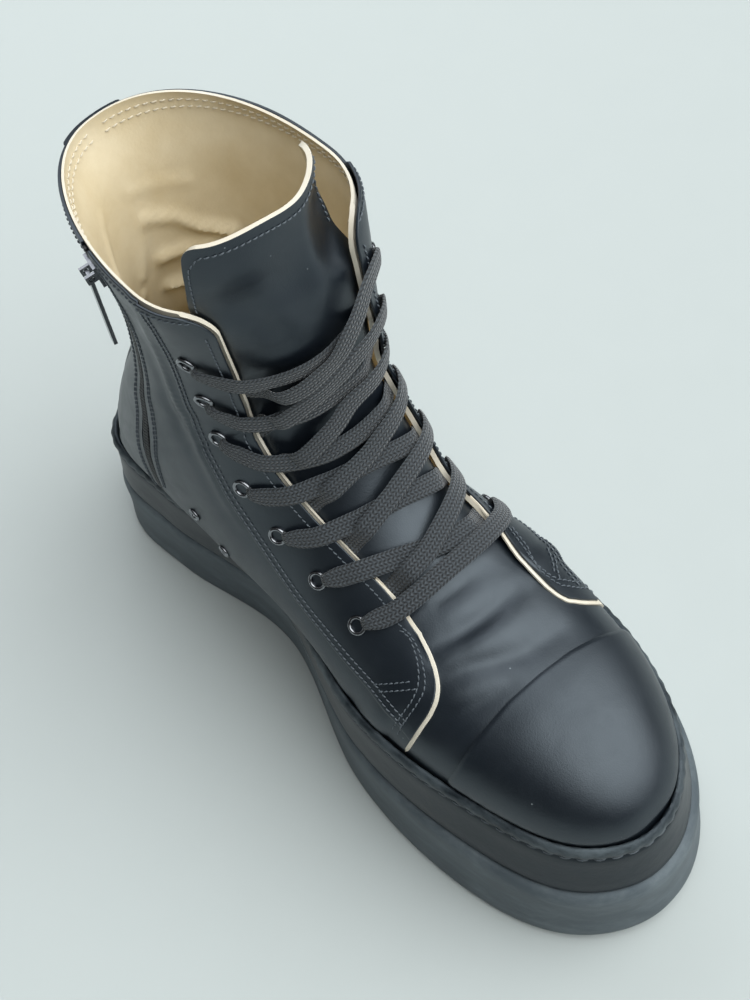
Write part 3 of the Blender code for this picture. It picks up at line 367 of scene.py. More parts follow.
# The upper as a row of slanting sections from the toe to the collar, then on for the tongue alone.
# Each section runs from a front point on the ridge to a back point on the feather line or the heel line.
# x is a share of the feather line's length, z of SHAFT_RISE, y and the half widths of BALL_WIDTH. y counts
# from the middle of the feather line while the section ends on it, and from Y = 0 above the heel.
# round_medial and round_lateral are the exponents of the front half's curve, widest is where the section
# is widest between front and back, and skew pushes the outer side forward and the inner side back.
SECTION_COLUMNS = (
    "front_x", "front_z", "back_x", "back_z", "front_y", "back_y",
    "medial", "lateral", "round_medial", "round_lateral", "widest", "skew",
)
SECTIONS = (
    (1.000, 0.000, 1.000, 0.000, 0.000, 0.000, 0.000, 0.000, 2.20, 2.20, 1.00, 0.00),
    (0.990, 0.060, 0.989, 0.000, 0.003, 0.000, 0.000, 0.000, 2.20, 2.20, 1.00, 0.00),
    (0.975, 0.102, 0.974, 0.000, 0.003, 0.000, 0.000, 0.000, 2.20, 2.20, 1.00, 0.00),
    (0.943, 0.142, 0.939, 0.000, 0.000, 0.000, 0.000, 0.000, 2.20, 2.20, 1.00, 0.00),
    (0.895, 0.176, 0.888, 0.000, -0.005, 0.000, 0.000, 0.000, 2.20, 2.20, 0.98, 0.00),
    (0.833, 0.196, 0.819, 0.000, -0.002, 0.000, 0.000, 0.000, 2.20, 2.20, 0.95, 0.00),
    (0.771, 0.201, 0.747, 0.000, 0.011, 0.000, 0.000, 0.000, 2.20, 2.20, 0.92, 0.00),
    (0.709, 0.225, 0.671, 0.000, 0.038, 0.000, 0.393, 0.402, 2.20, 2.20, 0.88, 0.00),
    (0.651, 0.250, 0.589, 0.000, 0.051, 0.000, 0.402, 0.380, 2.15, 2.30, 0.82, 0.03),
    (0.596, 0.287, 0.499, 0.000, 0.050, 0.000, 0.393, 0.338, 2.15, 2.50, 0.76, 0.06),
    (0.544, 0.339, 0.400, 0.000, 0.042, 0.000, 0.376, 0.299, 2.15, 2.70, 0.70, 0.10),
    (0.496, 0.415, 0.297, 0.000, 0.047, 0.000, 0.368, 0.308, 2.15, 3.00, 0.62, 0.20),
    (0.458, 0.507, 0.194, 0.000, 0.056, 0.000, 0.342, 0.325, 2.15, 3.10, 0.56, 0.28),
    (0.436, 0.606, 0.091, 0.000, 0.060, 0.000, 0.321, 0.329, 2.15, 3.10, 0.53, 0.30),
    (0.431, 0.648, 0.000, 0.000, 0.053, 0.000, 0.316, 0.329, 2.15, 3.10, 0.51, 0.30),
    (0.429, 0.685, 0.004, 0.084, 0.051, 0.010, 0.299, 0.329, 2.15, 3.10, 0.50, 0.30),
    (0.429, 0.722, 0.013, 0.164, 0.051, 0.026, 0.291, 0.329, 2.15, 3.10, 0.48, 0.30),
    (0.427, 0.759, 0.039, 0.274, 0.051, 0.034, 0.286, 0.333, 2.15, 3.00, 0.46, 0.28),
    (0.427, 0.796, 0.067, 0.379, 0.051, 0.047, 0.282, 0.338, 2.15, 2.90, 0.44, 0.25),
    (0.424, 0.839, 0.077, 0.495, 0.051, 0.064, 0.282, 0.350, 2.15, 2.70, 0.42, 0.22),
    (0.420, 0.888, 0.074, 0.636, 0.051, 0.081, 0.291, 0.372, 2.20, 2.50, 0.39, 0.18),
    (0.414, 0.943, 0.049, 0.820, 0.051, 0.103, 0.316, 0.397, 2.20, 2.30, 0.36, 0.15),
    (0.403, 1.001, 0.015, 0.967, 0.051, 0.111, 0.333, 0.419, 2.20, 2.20, 0.33, 0.12),
    (0.398, 1.084, 0.029, 1.053, 0.077, 0.111, 0.308, 0.316, 2.20, 2.20, 0.24, 0.00),
    (0.390, 1.176, 0.036, 1.145, 0.111, 0.111, 0.291, 0.231, 2.20, 2.20, 0.17, -0.05),
)
BACK_ROUND = 2.15
HEEL_FADE = 2.0
BULGE_RISE = 0.012
HEEL_ROW = 14
COLLAR_ROW = 22
TONGUE_ROW = 24
FIRST_EYELET_ROW = 8.9

# Where the facing edges lie, as shares of FACING_HALF_GAP, on either side of the ridge.
FACING_COLUMNS = ("row", "medial", "lateral")
FACING = (
    (7, 0.93, 0.90),
    (9, 0.84, 1.00),
    (11, 0.97, 1.10),
    (13, 1.05, 1.10),
    (16, 1.07, 1.00),
    (19, 1.05, 0.92),
    (22, 1.00, 1.03),
)

MEDIAL = -1
LATERAL = 1
SIDES = {MEDIAL: "medial", LATERAL: "lateral"}
ZIP_TOP_X = 0.194
ZIP_BOTTOM = (0.213, 0.095)
VENTS = ((0.295, 0.180), (0.346, 0.123))
print("sections:", len(SECTIONS), "outline points:", len(OUTLINE))

# %% From tables to curves
def table_column(names, table, name):
    index = names.index(name)
    return np.array([row[index] for row in table], float)


def smooth_curve(xs, ys, x):
    """Height at x of a curve through the points (xs, ys) without kinks: cubic pieces with central slopes."""
    slopes = np.gradient(ys, xs)
    x = float(np.clip(x, xs[0], xs[-1]))
    i = int(np.clip(np.searchsorted(xs, x, side="right") - 1, 0, len(xs) - 2))
    step = xs[i + 1] - xs[i]
    t = (x - xs[i]) / step
    return (
        (2 * t**3 - 3 * t**2 + 1) * ys[i]
        + (t**3 - 2 * t**2 + t) * step * slopes[i]
        + (3 * t**2 - 2 * t**3) * ys[i + 1]
        + (t**3 - t**2) * step * slopes[i + 1]
    )


def run_length(points):
    """How far along a line each of its points lies."""
    return np.concatenate([[0.0], np.cumsum(np.linalg.norm(np.diff(points, axis=0), axis=1))])


def resampled(points, gone, even):
    """The line's columns read at other distances along it."""
    return np.stack([np.interp(even, gone, points[:, k]) for k in range(points.shape[1])], 1)


# Sole outline
def edge_point(along, side):
    """A point (x, y) of the sole's bottom edge, the outline that everything else steps in from."""
    half = smooth_curve(
        table_column(OUTLINE_COLUMNS, OUTLINE, "along"),
        table_column(OUTLINE_COLUMNS, OUTLINE, SIDES[side]),
        along,
    )
    width = BALL_WIDTH * half * max(math.sin(math.pi * along), 0.0) ** OUTLINE_ROUNDNESS
    x = SOLE_LENGTH * (1 - math.cos(math.pi * along)) / 2
    return np.array([x, -TOE_SWING * along + side * width])


def outline_point(along, side, line, extra=0.0):
    """The outline stepped in by a line of STEPS_IN, and by extra more."""
    heel, toe = STEPS_IN[line]
    step = smooth_curve(
        table_column(OUTLINE_COLUMNS, OUTLINE, "along"),
        table_column(OUTLINE_COLUMNS, OUTLINE, "step_" + SIDES[side]),
        along,
    )
    inset = (heel + (toe - heel) * along) * step + extra
    small = 1e-4
    if along < small:
        return edge_point(0, side) + np.array([inset, 0])
    if along > 1 - small:
        return edge_point(1, side) - np.array([inset, 0])
    run = edge_point(along + small, side) - edge_point(along - small, side)
    run /= np.linalg.norm(run)
    return edge_point(along, side) + inset * side * np.array([run[1], -run[0]])


FEATHER_STEP = RIM_THICKNESS + WALL_GAP
FEATHER_LINES = {
    side: np.array([outline_point(a, side, "foxing_top", FEATHER_STEP) for a in np.linspace(0, 1, 81)])
    for side in SIDES
}
FEATHER_HEEL = FEATHER_LINES[MEDIAL][0, 0]
FEATHER_TOE = FEATHER_LINES[MEDIAL][-1, 0]


def feather_y(x, side):
    line = FEATHER_LINES[side]
    return np.interp(x, line[:, 0], line[:, 1])


# Upper surface
SECTION_ROWS = np.arange(len(SECTIONS), dtype=float)
SECTION_VALUES = {name: table_column(SECTION_COLUMNS, SECTIONS, name) for name in SECTION_COLUMNS}
HALVES = {}


def half_section(row, side):
    """Points of one side of a section, from the ridge round to the feather line or the heel line."""
    key = (round(row, 4), side)
    if key in HALVES:
        return HALVES[key]
    at = {name: smooth_curve(SECTION_ROWS, SECTION_VALUES[name], row) for name in SECTION_COLUMNS}
    span = FEATHER_TOE - FEATHER_HEEL
    front_x = FEATHER_HEEL + at["front_x"] * span
    back_x = FEATHER_HEEL + max(at["back_x"], 0.0) * span
    front_z = FEATHER + at["front_z"] * SHAFT_RISE
    back_z = FEATHER + max(at["back_z"], 0.0) * SHAFT_RISE
    fade = min(max(HEEL_ROW - row, 0.0) / HEEL_FADE, 1.0)
    middle = fade * (feather_y(back_x, MEDIAL) + feather_y(back_x, LATERAL)) / 2
    front_y = middle + at["front_y"] * BALL_WIDTH
    back_y = middle + at["back_y"] * BALL_WIDTH
    foot = abs(feather_y(back_x, side) - back_y) if row < HEEL_ROW else 0.0
    half = max(at[SIDES[side]] * BALL_WIDTH, foot, 1e-6)
    widest = min(at["widest"], 0.999)
    power = at["round_" + SIDES[side]]
    tuck = (1 - min(foot / half, 1.0) ** BACK_ROUND) ** (1 / BACK_ROUND)
    turn = np.linspace(0, math.pi / 2, ARC_SAMPLES // 2)
    share = np.concatenate([widest * (1 - np.cos(turn)), widest + (1 - widest) * np.sin(turn)[1:]])
    before = np.clip(1 - share / widest, 0, 1)
    after = np.clip(tuck * (share - widest) / (1 - widest), 0, 1)
    bulge = np.where(
        share < widest, (1 - before**power) ** (1 / power), (1 - after**BACK_ROUND) ** (1 / BACK_ROUND)
    )
    out = side * half * bulge
    x = front_x + (back_x - front_x) * share + at["skew"] * out * (1 - share) ** 2
    y = front_y + (back_y - front_y) * share + out
    z = front_z + (back_z - front_z) * share
    points = np.stack([x, stand_in_rim(x, y, z, side), z], 1)
    arcs = run_length(points)
    HALVES[key] = (points, arcs)
    return HALVES[key]


def stand_in_rim(x, y, z, side):
    """The wall stands upright inside the rolled rim and may bulge over the sole only above it."""
    wall = feather_y(x, side)
    beyond = np.maximum((y - wall) * side, 0.0)
    free = np.clip((z - RIM_TOP - OVERLAY_GAP) / BULGE_RISE, 0, 1)
    return y - side * beyond * (1 - free) ** 2


SHIFT = np.array([
    -SOLE_LENGTH / 2,
    -(
        min(edge_point(a, MEDIAL)[1] for a in np.linspace(0, 1, 201))
        + max(edge_point(a, LATERAL)[1] for a in np.linspace(0, 1, 201))
    ) / 2,
    0.0,
])


def facing_arc(rows):
    """How far from the ridge the facing edges run, for both sides."""
    table = np.array([[smooth_curve(
        table_column(FACING_COLUMNS, FACING, "row"), table_column(FACING_COLUMNS, FACING, SIDES[side]), r
    ) for r in np.atleast_1d(rows)] for side in (MEDIAL, LATERAL)])
    return dict(zip((MEDIAL, LATERAL), table * FACING_HALF_GAP))


print("sections are cut between x =", round(FEATHER_HEEL * 1000), "and", round(FEATHER_TOE * 1000), "mm")

# %% [markdown]
# A point of the upper is named by its row, which counts the sections from the toe, and its arc, the distance
# from the ridge in metres, negative on the inner side. To place thousands of points at once, the sections are
# first sampled into one dense table for each side, and every later question is read from it.

# %% A dense table of the surface
ROW_STEP = 0.02
SHARES = 161
DENSE_ROWS = np.arange(0, TONGUE_ROW + ROW_STEP / 2, ROW_STEP)


def dense_side(side):
    points, lengths = [], []
    for row in DENSE_ROWS:
        cut, arcs = half_section(row, side)
        total = max(arcs[-1], 1e-6)
        points.append(resampled(cut, arcs, np.linspace(0, total, SHARES)))
        lengths.append(total)
    return np.array(points), np.array(lengths)


SKIN = {side: dense_side(side) for side in SIDES}


def side_length(rows, side):
    return np.interp(rows, DENSE_ROWS, SKIN[side][1])


def skin_points(rows, arcs):
    """Points of the upper's surface for arrays of rows and signed arcs."""
    rows, arcs = np.broadcast_arrays(np.asarray(rows, float), np.asarray(arcs, float))
    out = np.zeros(rows.shape + (3,))
    for side, (points, lengths) in SKIN.items():
        pick = (arcs < 0) if side == MEDIAL else (arcs >= 0)
        if not pick.any():
            continue
        r = np.clip(rows[pick] / ROW_STEP, 0, len(DENSE_ROWS) - 1.001)
        i = r.astype(int)
        f = (r - i)[:, None]
        total = lengths[i] * (1 - f[:, 0]) + lengths[i + 1] * f[:, 0]
        q = np.clip(np.abs(arcs[pick]) / total, 0, 1) * (SHARES - 1.001)
        j = q.astype(int)
        g = (q - j)[:, None]
        near = points[i, j] * (1 - g) + points[i, j + 1] * g
        far = points[i + 1, j] * (1 - g) + points[i + 1, j + 1] * g
        out[pick] = near * (1 - f) + far * f
    return out + SHIFT


def skin_normals(rows, arcs, top):
    """Directions straight out of the surface. top is the last row that they may look at."""
    rows, arcs = np.broadcast_arrays(np.asarray(rows, float), np.asarray(arcs, float))
    up, aside = 0.08, 0.0012
    along = skin_points(np.minimum(rows + up, top), arcs) - skin_points(np.maximum(rows - up, 0), arcs)
    across = skin_points(rows, arcs + aside) - skin_points(rows, arcs - aside)
    normal = np.cross(across, along)
    size = np.linalg.norm(normal, axis=-1, keepdims=True)
    return np.where(size > 1e-12, normal / np.maximum(size, 1e-12), np.array([1.0, 0.0, 0.0]))


def skin_at(rows, arcs, top=COLLAR_ROW):
    return skin_points(rows, arcs), skin_normals(rows, arcs, top)


def smooth_step(value):
    value = np.clip(value, 0, 1)
    return value * value * (3 - 2 * value)


def above_rim(points, margin, over=0.004):
    """0 inside the rolled rim and 1 above it, with a soft change over a few millimetres."""
    return smooth_step((points[..., 2] - RIM_TOP + margin) / over)


print("collar arcs:", {SIDES[s]: round(float(side_length(COLLAR_ROW, s)) * 1000) for s in SIDES}, "mm")

# %% [markdown]
# ## Making sheets of leather
# A sheet is two grids of points, its outside and its inside, closed by a rim. The faces remember which they
# are, so that the outside is calf, the inside lining and the rim a cut edge. A small bevel rounds the rim,
# because no cut edge is sharp at this scale.

# %% Sheet builder
BOOT = bpy.data.collections.new("boot_dress")
bpy.context.scene.collection.children.link(BOOT)


def finished_object(name, bm, materials):
    mesh = bpy.data.meshes.new(name)
    bm.to_mesh(mesh)
    bm.free()
    for finish in materials:
        mesh.materials.append(finish)
    mesh.shade_smooth()
    mesh.set_sharp_from_angle(angle=math.radians(50))
    thing = bpy.data.objects.new(name, mesh)
    BOOT.objects.link(thing)
    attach(thing, "boot")
    return thing


def sheet(name, outer, inner, materials, slot="leather", bevel=0.00028):
    """A closed sheet between two grids. materials are those of the outside, the inside and the rim."""
    rows, cols = outer.shape[:2]
    bm = bmesh.new()
    top = [[bm.verts.new(p) for p in line] for line in outer]
    low = [[bm.verts.new(p) for p in line] for line in inner]
    for grid, kind in ((top, 0), (low, 1)):
        for i in range(rows - 1):
            for j in range(cols - 1):
                corners = (grid[i][j], grid[i][j + 1], grid[i + 1][j + 1], grid[i + 1][j])
                face = bm.faces.new(corners if kind == 0 else corners[::-1])
                face.material_index = kind
    loop = [(0, j) for j in range(cols)] + [(i, cols - 1) for i in range(1, rows)]
    loop += [(rows - 1, j) for j in range(cols - 2, -1, -1)] + [(i, 0) for i in range(rows - 2, 0, -1)]
    for (a, b), (c, d) in zip(loop, loop[1:] + loop[:1]):
        face = bm.faces.new((top[a][b], low[a][b], low[c][d], top[c][d]))
        face.material_index = min(2, len(materials) - 1)
    bmesh.ops.remove_doubles(bm, verts=bm.verts, dist=1e-6)
    bmesh.ops.recalc_face_normals(bm, faces=bm.faces)
    thing = finished_object(name, bm, materials)
    if bevel:
        soft = thing.modifiers.new("rounded_rim", "BEVEL")
        soft.width = bevel
        soft.segments = 2
        soft.limit_method = "ANGLE"
        soft.angle_limit = math.radians(55)
        soft.harden_normals = False
    return thing


def directions(vectors):
    return vectors / np.linalg.norm(vectors, axis=1, keepdims=True)


PATH_STEP = 0.0008


def path_on_skin(rows, arcs, lift):
    """Evenly spaced points and normals along a line on the surface."""
    rows, arcs, lift = (np.asarray(v, float) for v in np.broadcast_arrays(rows, arcs, lift))
    share = np.linspace(0, 1, len(rows))
    fine = np.linspace(0, 1, 400)
    rows, arcs, lift = (np.interp(fine, share, v) for v in (rows, arcs, lift))
    base, normals = skin_at(rows, arcs, TONGUE_ROW)
    points = base + normals * lift[:, None]
    gone = run_length(points)
    even = np.arange(0, gone[-1], PATH_STEP)
    return resampled(points, gone, even), directions(resampled(normals, gone, even))


print("sheet builder ready")

# %% [markdown]
# ## Stitches
# A lockstitch shows as a row of short slanting lengths of thread, each sunk at both ends into its needle
# holes. One spindle per stitch, laid along the seam, is enough to catch the light as thread does.

# %% Stitch rows
THREAD_SIDES = 6
THREAD_RINGS = ((-0.32, 0.85, 0.5), (0.0, 1.0, 1.0), (0.32, 0.85, 0.5))  # place, size and height, as shares
THREAD_END = 0.52


def stitches(name, seams, finish, pitch=0.0027, length=0.0022, radius=0.00030):
    """seams is a list of (points, normals), with a point every PATH_STEP."""
    bm = bmesh.new()
    turns = [2 * math.pi * s / THREAD_SIDES for s in range(THREAD_SIDES)]
    every = max(int(round(pitch / PATH_STEP)), 1)
    count = 0
    for points, normals in seams:
        for k in range(1, len(points) - 1, every):
            forward = points[k + 1] - points[k - 1]
            forward /= np.linalg.norm(forward)
            out = normals[k]
            wide = np.cross(out, forward)
            rings = []
            for at, size, height in THREAD_RINGS:
                centre = points[k] + forward * length * at
                centre = centre + out * radius * 0.9 * height + wide * radius * at * 1.2
                rings.append([
                    bm.verts.new(centre + radius * size * (wide * math.cos(turn) + out * math.sin(turn)))
                    for turn in turns
                ])
            reach, sunk = forward * length * THREAD_END, points[k] - out * radius * 0.8
            start, end = bm.verts.new(sunk - reach), bm.verts.new(sunk + reach)
            for s in range(THREAD_SIDES):
                t = (s + 1) % THREAD_SIDES
                for one, two in zip(rings, rings[1:]):
                    bm.faces.new((one[s], one[t], two[t], two[s]))
                bm.faces.new((rings[0][t], rings[0][s], start))
                bm.faces.new((rings[-1][s], rings[-1][t], end))
            count += 1
    bmesh.ops.recalc_face_normals(bm, faces=bm.faces)
    print(name, count, "stitches")
    return finished_object(name, bm, [finish])


# %% [markdown]
# ## Creases
# The boot has been worn a little. Where the foot bends there are a few shallow troughs across the vamp, and
# the shaft has some long soft folds. Each is drawn as a line on the surface with a depth and a width, and
# pushes the leather in beside a low ridge.

# %% Creases
CREASES = (
    # points as (row, arc in mm), depth in mm, half width in mm; a depth below nought is a raised fold
    (((7.62, -26), (7.45, -15), (7.36, -6), (7.3, 3), (7.25, 16)), 1.7, 3.8),
    (((7.05, -32), (6.8, -19), (6.5, -9), (6.25, 1), (6.1, 16)), 1.45, 4.0),
    (((6.6, -46), (6.4, -36), (6.2, -26), (6.0, -12)), 0.8, 3.4),
    (((8.3, -16), (8.2, -4), (8.15, 8)), 1.0, 4.0),
    (((12.2, 60), (12.9, 80), (13.3, 100), (13.6, 120)), 0.9, 5.0),
    (((11.6, 52), (12.2, 70), (12.7, 92)), 0.7, 4.5),
    (((21.9, -58), (20.3, -66), (18.3, -67.5), (15.3, -63.5), (13.2, -61), (11.6, -60)), -0.9, 2.6),
    (((20.6, -78), (18.0, -76), (16.0, -73), (14.6, -72)), 0.8, 4.0),
    (((16.5, 70), (17.2, 92), (17.6, 112)), 0.6, 6.0),
    (((15.2, 140), (16.4, 128), (17.4, 110)), 0.6, 5.0),
    (((22.2, -20), (21.0, -14), (19.6, -10)), 0.9, 4.5),
    (((22.6, 14), (21.2, 12), (19.8, 8)), -0.8, 5.0),
)


def distance_to_line(points, rows, arcs, count):
    """Each point's distance from a line of rows and arcs in mm, and how far along that line it is nearest."""
    known, fine = np.linspace(0, 1, len(rows)), np.linspace(0, 1, count)
    path = skin_points(np.interp(fine, known, rows), np.interp(fine, known, arcs) / 1000)
    far = np.linalg.norm(points.reshape(-1, 3)[:, None] - path[None], axis=2)
    shape = points.shape[:-1]
    return far.min(1).reshape(shape), fine[far.argmin(1)].reshape(shape)


def crease_lift(points):
    """How far the creases move each point along its normal."""
    lift = np.zeros(points.shape[:-1])
    for line, depth, width in CREASES:
        far, along = distance_to_line(points, *zip(*line), 40)
        far = far * 1000
        fade = np.sin(np.pi * np.clip(0.06 + 0.88 * along, 0, 1)) ** 0.7
        ridge = 0.35 * np.exp(-(((far - 2.3 * width) / (1.3 * width)) ** 2))
        lift += depth * 0.001 * fade * (ridge - np.exp(-((far / width) ** 2)))
    return lift


def hide_waves(points, size, depth, seed=0.0):
    """Slow unevenness of the hide, depth metres over size metres."""
    flat = points.reshape(-1, 3)
    values = [noise.noise(Vector(p) / size + Vector((seed, seed, seed))) for p in flat]
    return np.array(values).reshape(points.shape[:-1]) * depth


print("creases:", len(CREASES))

# %% [markdown]
# ## Vamp and tongue
# On this boot the vamp runs on under the lacing and becomes the tongue, in one piece of calf. It lies on the
# last at the toe, dips under the facings, and stands free above the collar with a bare cut edge.

# %% Vamp and tongue
TONGUE_HALF, TONGUE_FLARE = 0.036, 0.0045
TONGUE_THICKNESS = 0.0020
VAMP_DIP = 0.0030
TOP_DIP, TOP_DIP_ARC, TOP_DIP_WIDTH = 0.31, 0.012, 0.018  # in rows, metres and metres
CORNER_RADIUS = 0.0065
CURL_DEPTH = 0.0055


def vamp_half(rows, side):
    wide = side_length(rows, side)
    free = TONGUE_FLARE * smooth_step((rows - COLLAR_ROW) / 2)
    return wide + (TONGUE_HALF - wide) * smooth_step((rows - 7.2) / 1.6) + free


def tongue_top(arcs):
    """The row at which the tongue ends: its top edge dips where it bends round the ankle."""
    return TONGUE_ROW - TOP_DIP * np.exp(-(((arcs - TOP_DIP_ARC) / TOP_DIP_WIDTH) ** 2))


def corner_inset(share):
    """How far the top corners are rounded off, in metres, at a share of the way up the free part."""
    past = np.clip((share - 0.80) / 0.20, 0, 1)
    return CORNER_RADIUS * (1 - np.sqrt(1 - past**2))


def tongue_curl(rows, arcs):
    """How far the tongue's outer side falls back, toward the ankle, above the facings."""
    curl = CURL_DEPTH * smooth_step((arcs - 0.010) / 0.020) * smooth_step((rows - 20.5) / 1.5)
    return curl * (1 - smooth_step((rows - 22.6) / 1.3))


def tongue_waves(points):
    return crease_lift(points) + hide_waves(points, 0.030, 0.0005, 3.0)


VAMP_START, VAMP_BEND = 5.0, 9.5
vamp_rows = np.concatenate([
    np.linspace(VAMP_START, VAMP_BEND, 70), np.linspace(VAMP_BEND, COLLAR_ROW, 110)[1:],
    np.linspace(COLLAR_ROW, TONGUE_ROW, 34)[1:],
])
across_share = np.linspace(-1, 1, 75)
free_share = np.clip((vamp_rows - COLLAR_ROW) / 2, 0, 1)
half_medial = vamp_half(vamp_rows, MEDIAL) - corner_inset(free_share)
half_lateral = vamp_half(vamp_rows, LATERAL) - corner_inset(free_share)
vamp_arcs = np.where(across_share[None] < 0, half_medial[:, None], half_lateral[:, None]) * across_share[None]
vamp_grid_rows = vamp_rows[:, None] - (TONGUE_ROW - tongue_top(vamp_arcs)) * free_share[:, None]
vamp_base, vamp_normals = skin_at(vamp_grid_rows, vamp_arcs, TONGUE_ROW)
bulge = smooth_step((vamp_grid_rows - 7.5) / 1.5) * smooth_step((13.0 - vamp_grid_rows) / 3)
vamp_lift = 0.0014 * bulge * np.cos(vamp_arcs / TONGUE_HALF * 1.57) ** 2
vamp_lift = vamp_lift - VAMP_DIP * smooth_step((vamp_grid_rows - 6.5) / 2.3)
vamp_lift = vamp_lift - tongue_curl(vamp_grid_rows, vamp_arcs) + tongue_waves(vamp_base)
vamp_outer = vamp_base + vamp_normals * vamp_lift[..., None]
vamp_inner = vamp_outer - vamp_normals * TONGUE_THICKNESS
vamp = sheet("vamp_and_tongue", vamp_outer, vamp_inner, [calf_leather, lining_skin, cut_edge])
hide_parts("tongue")
print("vamp faces:", len(vamp.data.polygons))

# %% [markdown]
# ## Toe cap
# A smooth cap of the same calf over a stiffener. It overlaps the vamp by its own thickness, and the step
# between them is the curved line across the toe.

# %% Toe cap
CAP_THICKNESS, CAP_REACH, CAP_FIRST_ROW = 0.0016, 0.066, 0.04
SEAM_ARCS = np.array([-70, -48, -35, -16, 0, 15, 26, 38, 50, 70]) / 1000
SEAM_ROWS = np.array([5.66, 5.68, 5.74, 5.78, 5.71, 5.60, 5.47, 5.32, 5.24, 5.20])

cap_share = np.concatenate([np.linspace(0, 0.97, 64) ** 0.9, [0.98, 0.988, 0.994, 1.0]])
cap_across = np.linspace(-1, 1, 81)
cap_rows = np.zeros((len(cap_share), len(cap_across)))
cap_arcs = np.zeros_like(cap_rows)
for j, share in enumerate(cap_across):
    seam = float(np.interp(share * CAP_REACH, SEAM_ARCS, SEAM_ROWS))
    cap_rows[:, j] = CAP_FIRST_ROW + (seam - CAP_FIRST_ROW) * cap_share
    cap_arcs[:, j] = share * side_length(cap_rows[:, j], MEDIAL if share < 0 else LATERAL)
cap_base, cap_normals = skin_at(cap_rows, cap_arcs, TONGUE_ROW)
edge_fall = 1 - 0.35 * smooth_step((cap_share - 0.985) / 0.015)
cap_lift = (CAP_THICKNESS * edge_fall[:, None]) * (0.25 + 0.75 * above_rim(cap_base, 0.001))
cap_lift = cap_lift + hide_waves(cap_base, 0.04, 0.0003, 8.0)
cap_outer, cap_inner = cap_base + cap_normals * cap_lift[..., None], cap_base + cap_normals * -0.0002
toe_cap = sheet("toe_cap_leather", cap_outer, cap_inner, [calf_leather] * 3)
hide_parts("toe_cap")
print("cap faces:", len(toe_cap.data.polygons))

# %% [markdown]
# ## Quarters
# Each quarter is one hide from the facing edge round to the heel, doubled along the lacing by the eyestay.
# Its front edge curves down over the vamp to the rim. The inner quarter is split along the zip.

# %% Where the quarters end
FRONT_EDGE = {
    # the quarter's front edge: arcs in mm, and rows
    MEDIAL: (
        (25.6, 26.6, 28.4, 31.4, 35.0, 40.5, 47, 56, 72),
        (8.0, 7.74, 7.42, 7.10, 6.89, 6.76, 6.71, 6.66, 6.62),
    ),
    LATERAL: (
        (25.4, 26.0, 27.2, 29.4, 33.0, 37.5, 43, 52, 72),
        (7.35, 7.0, 6.72, 6.46, 6.29, 6.14, 6.03, 5.95, 5.88),
    ),
}
REAR_SEAM = {
    # the eyestay's rear edge: rows, and arcs in mm
    MEDIAL: (
        (6.6, 7.6, 9.0, 10.0, 11.2, 12.3, 13.2, 15.7, 18.4, 20.3, 22.0),
        (55, 55, 57.5, 59, 57, 57.5, 58.5, 60.5, 60.5, 57.5, 55),
    ),
    LATERAL: (
        (5.9, 6.6, 7.2, 8.0, 9.0, 10.0, 12.0, 14.0, 16.0, 18.0, 20.0, 22.0),
        (46, 44, 45, 50, 57, 61, 63, 62, 60, 58, 58, 60),
    ),
}


def curve_through(table, values):
    """The smooth curve through a table's (from, to) at an array of values."""
    xs, ys = (np.array(column, float) for column in table)
    return np.array([smooth_curve(xs, ys, v) for v in np.ravel(values)]).reshape(np.shape(values))


FRONT_ARCS = np.linspace(0.0254, 0.072, 240)
FRONT_ROWS = {side: curve_through(FRONT_EDGE[side], FRONT_ARCS * 1000) for side in SIDES}
COLLAR_CORNER = 0.010


def front_row(arcs, side):
    return np.interp(arcs, FRONT_ARCS, FRONT_ROWS[side])


def rear_seam(rows, side):
    return curve_through(REAR_SEAM[side], rows) / 1000


def facing_edge(rows, side):
    """The facing edge with its rounded top corner."""
    past = np.clip((rows - 21.05) / 0.95, 0, 1)
    blend = smooth_step((rows - 7.6) / 1.2)
    low = FRONT_EDGE[side][0][0] / 1000
    corner = COLLAR_CORNER * (1 - np.sqrt(1 - past**2))
    return low + (facing_arc(np.maximum(rows, 7.0))[side] - low) * blend + corner


def nearest_on_inner_side(x, z):
    """Row and arc of the inner side's point with this x and z, all in the table's own frame."""
    points, lengths = SKIN[MEDIAL]
    rows = np.arange(int(9 / ROW_STEP), int(COLLAR_ROW / ROW_STEP) + 1)
    block = points[rows]
    far = np.hypot(block[..., 0] - x, block[..., 2] - z)
    far[:, :40] = 1.0
    i, j = np.unravel_index(far.argmin(), far.shape)
    row = DENSE_ROWS[rows[i]]
    arc = lengths[rows[i]] * j / (SHARES - 1)
    tries_r = np.clip(row + np.linspace(-0.03, 0.03, 13), 9, COLLAR_ROW)[:, None]
    tries_a = arc + np.linspace(-0.0012, 0.0012, 13)[None]
    fine = skin_points(tries_r + 0 * tries_a, -(tries_a + 0 * tries_r)) - SHIFT
    far = np.hypot(fine[..., 0] - x, fine[..., 2] - z)
    i, j = np.unravel_index(far.argmin(), far.shape)
    return float(tries_r[i, 0]), float(tries_a[0, j])


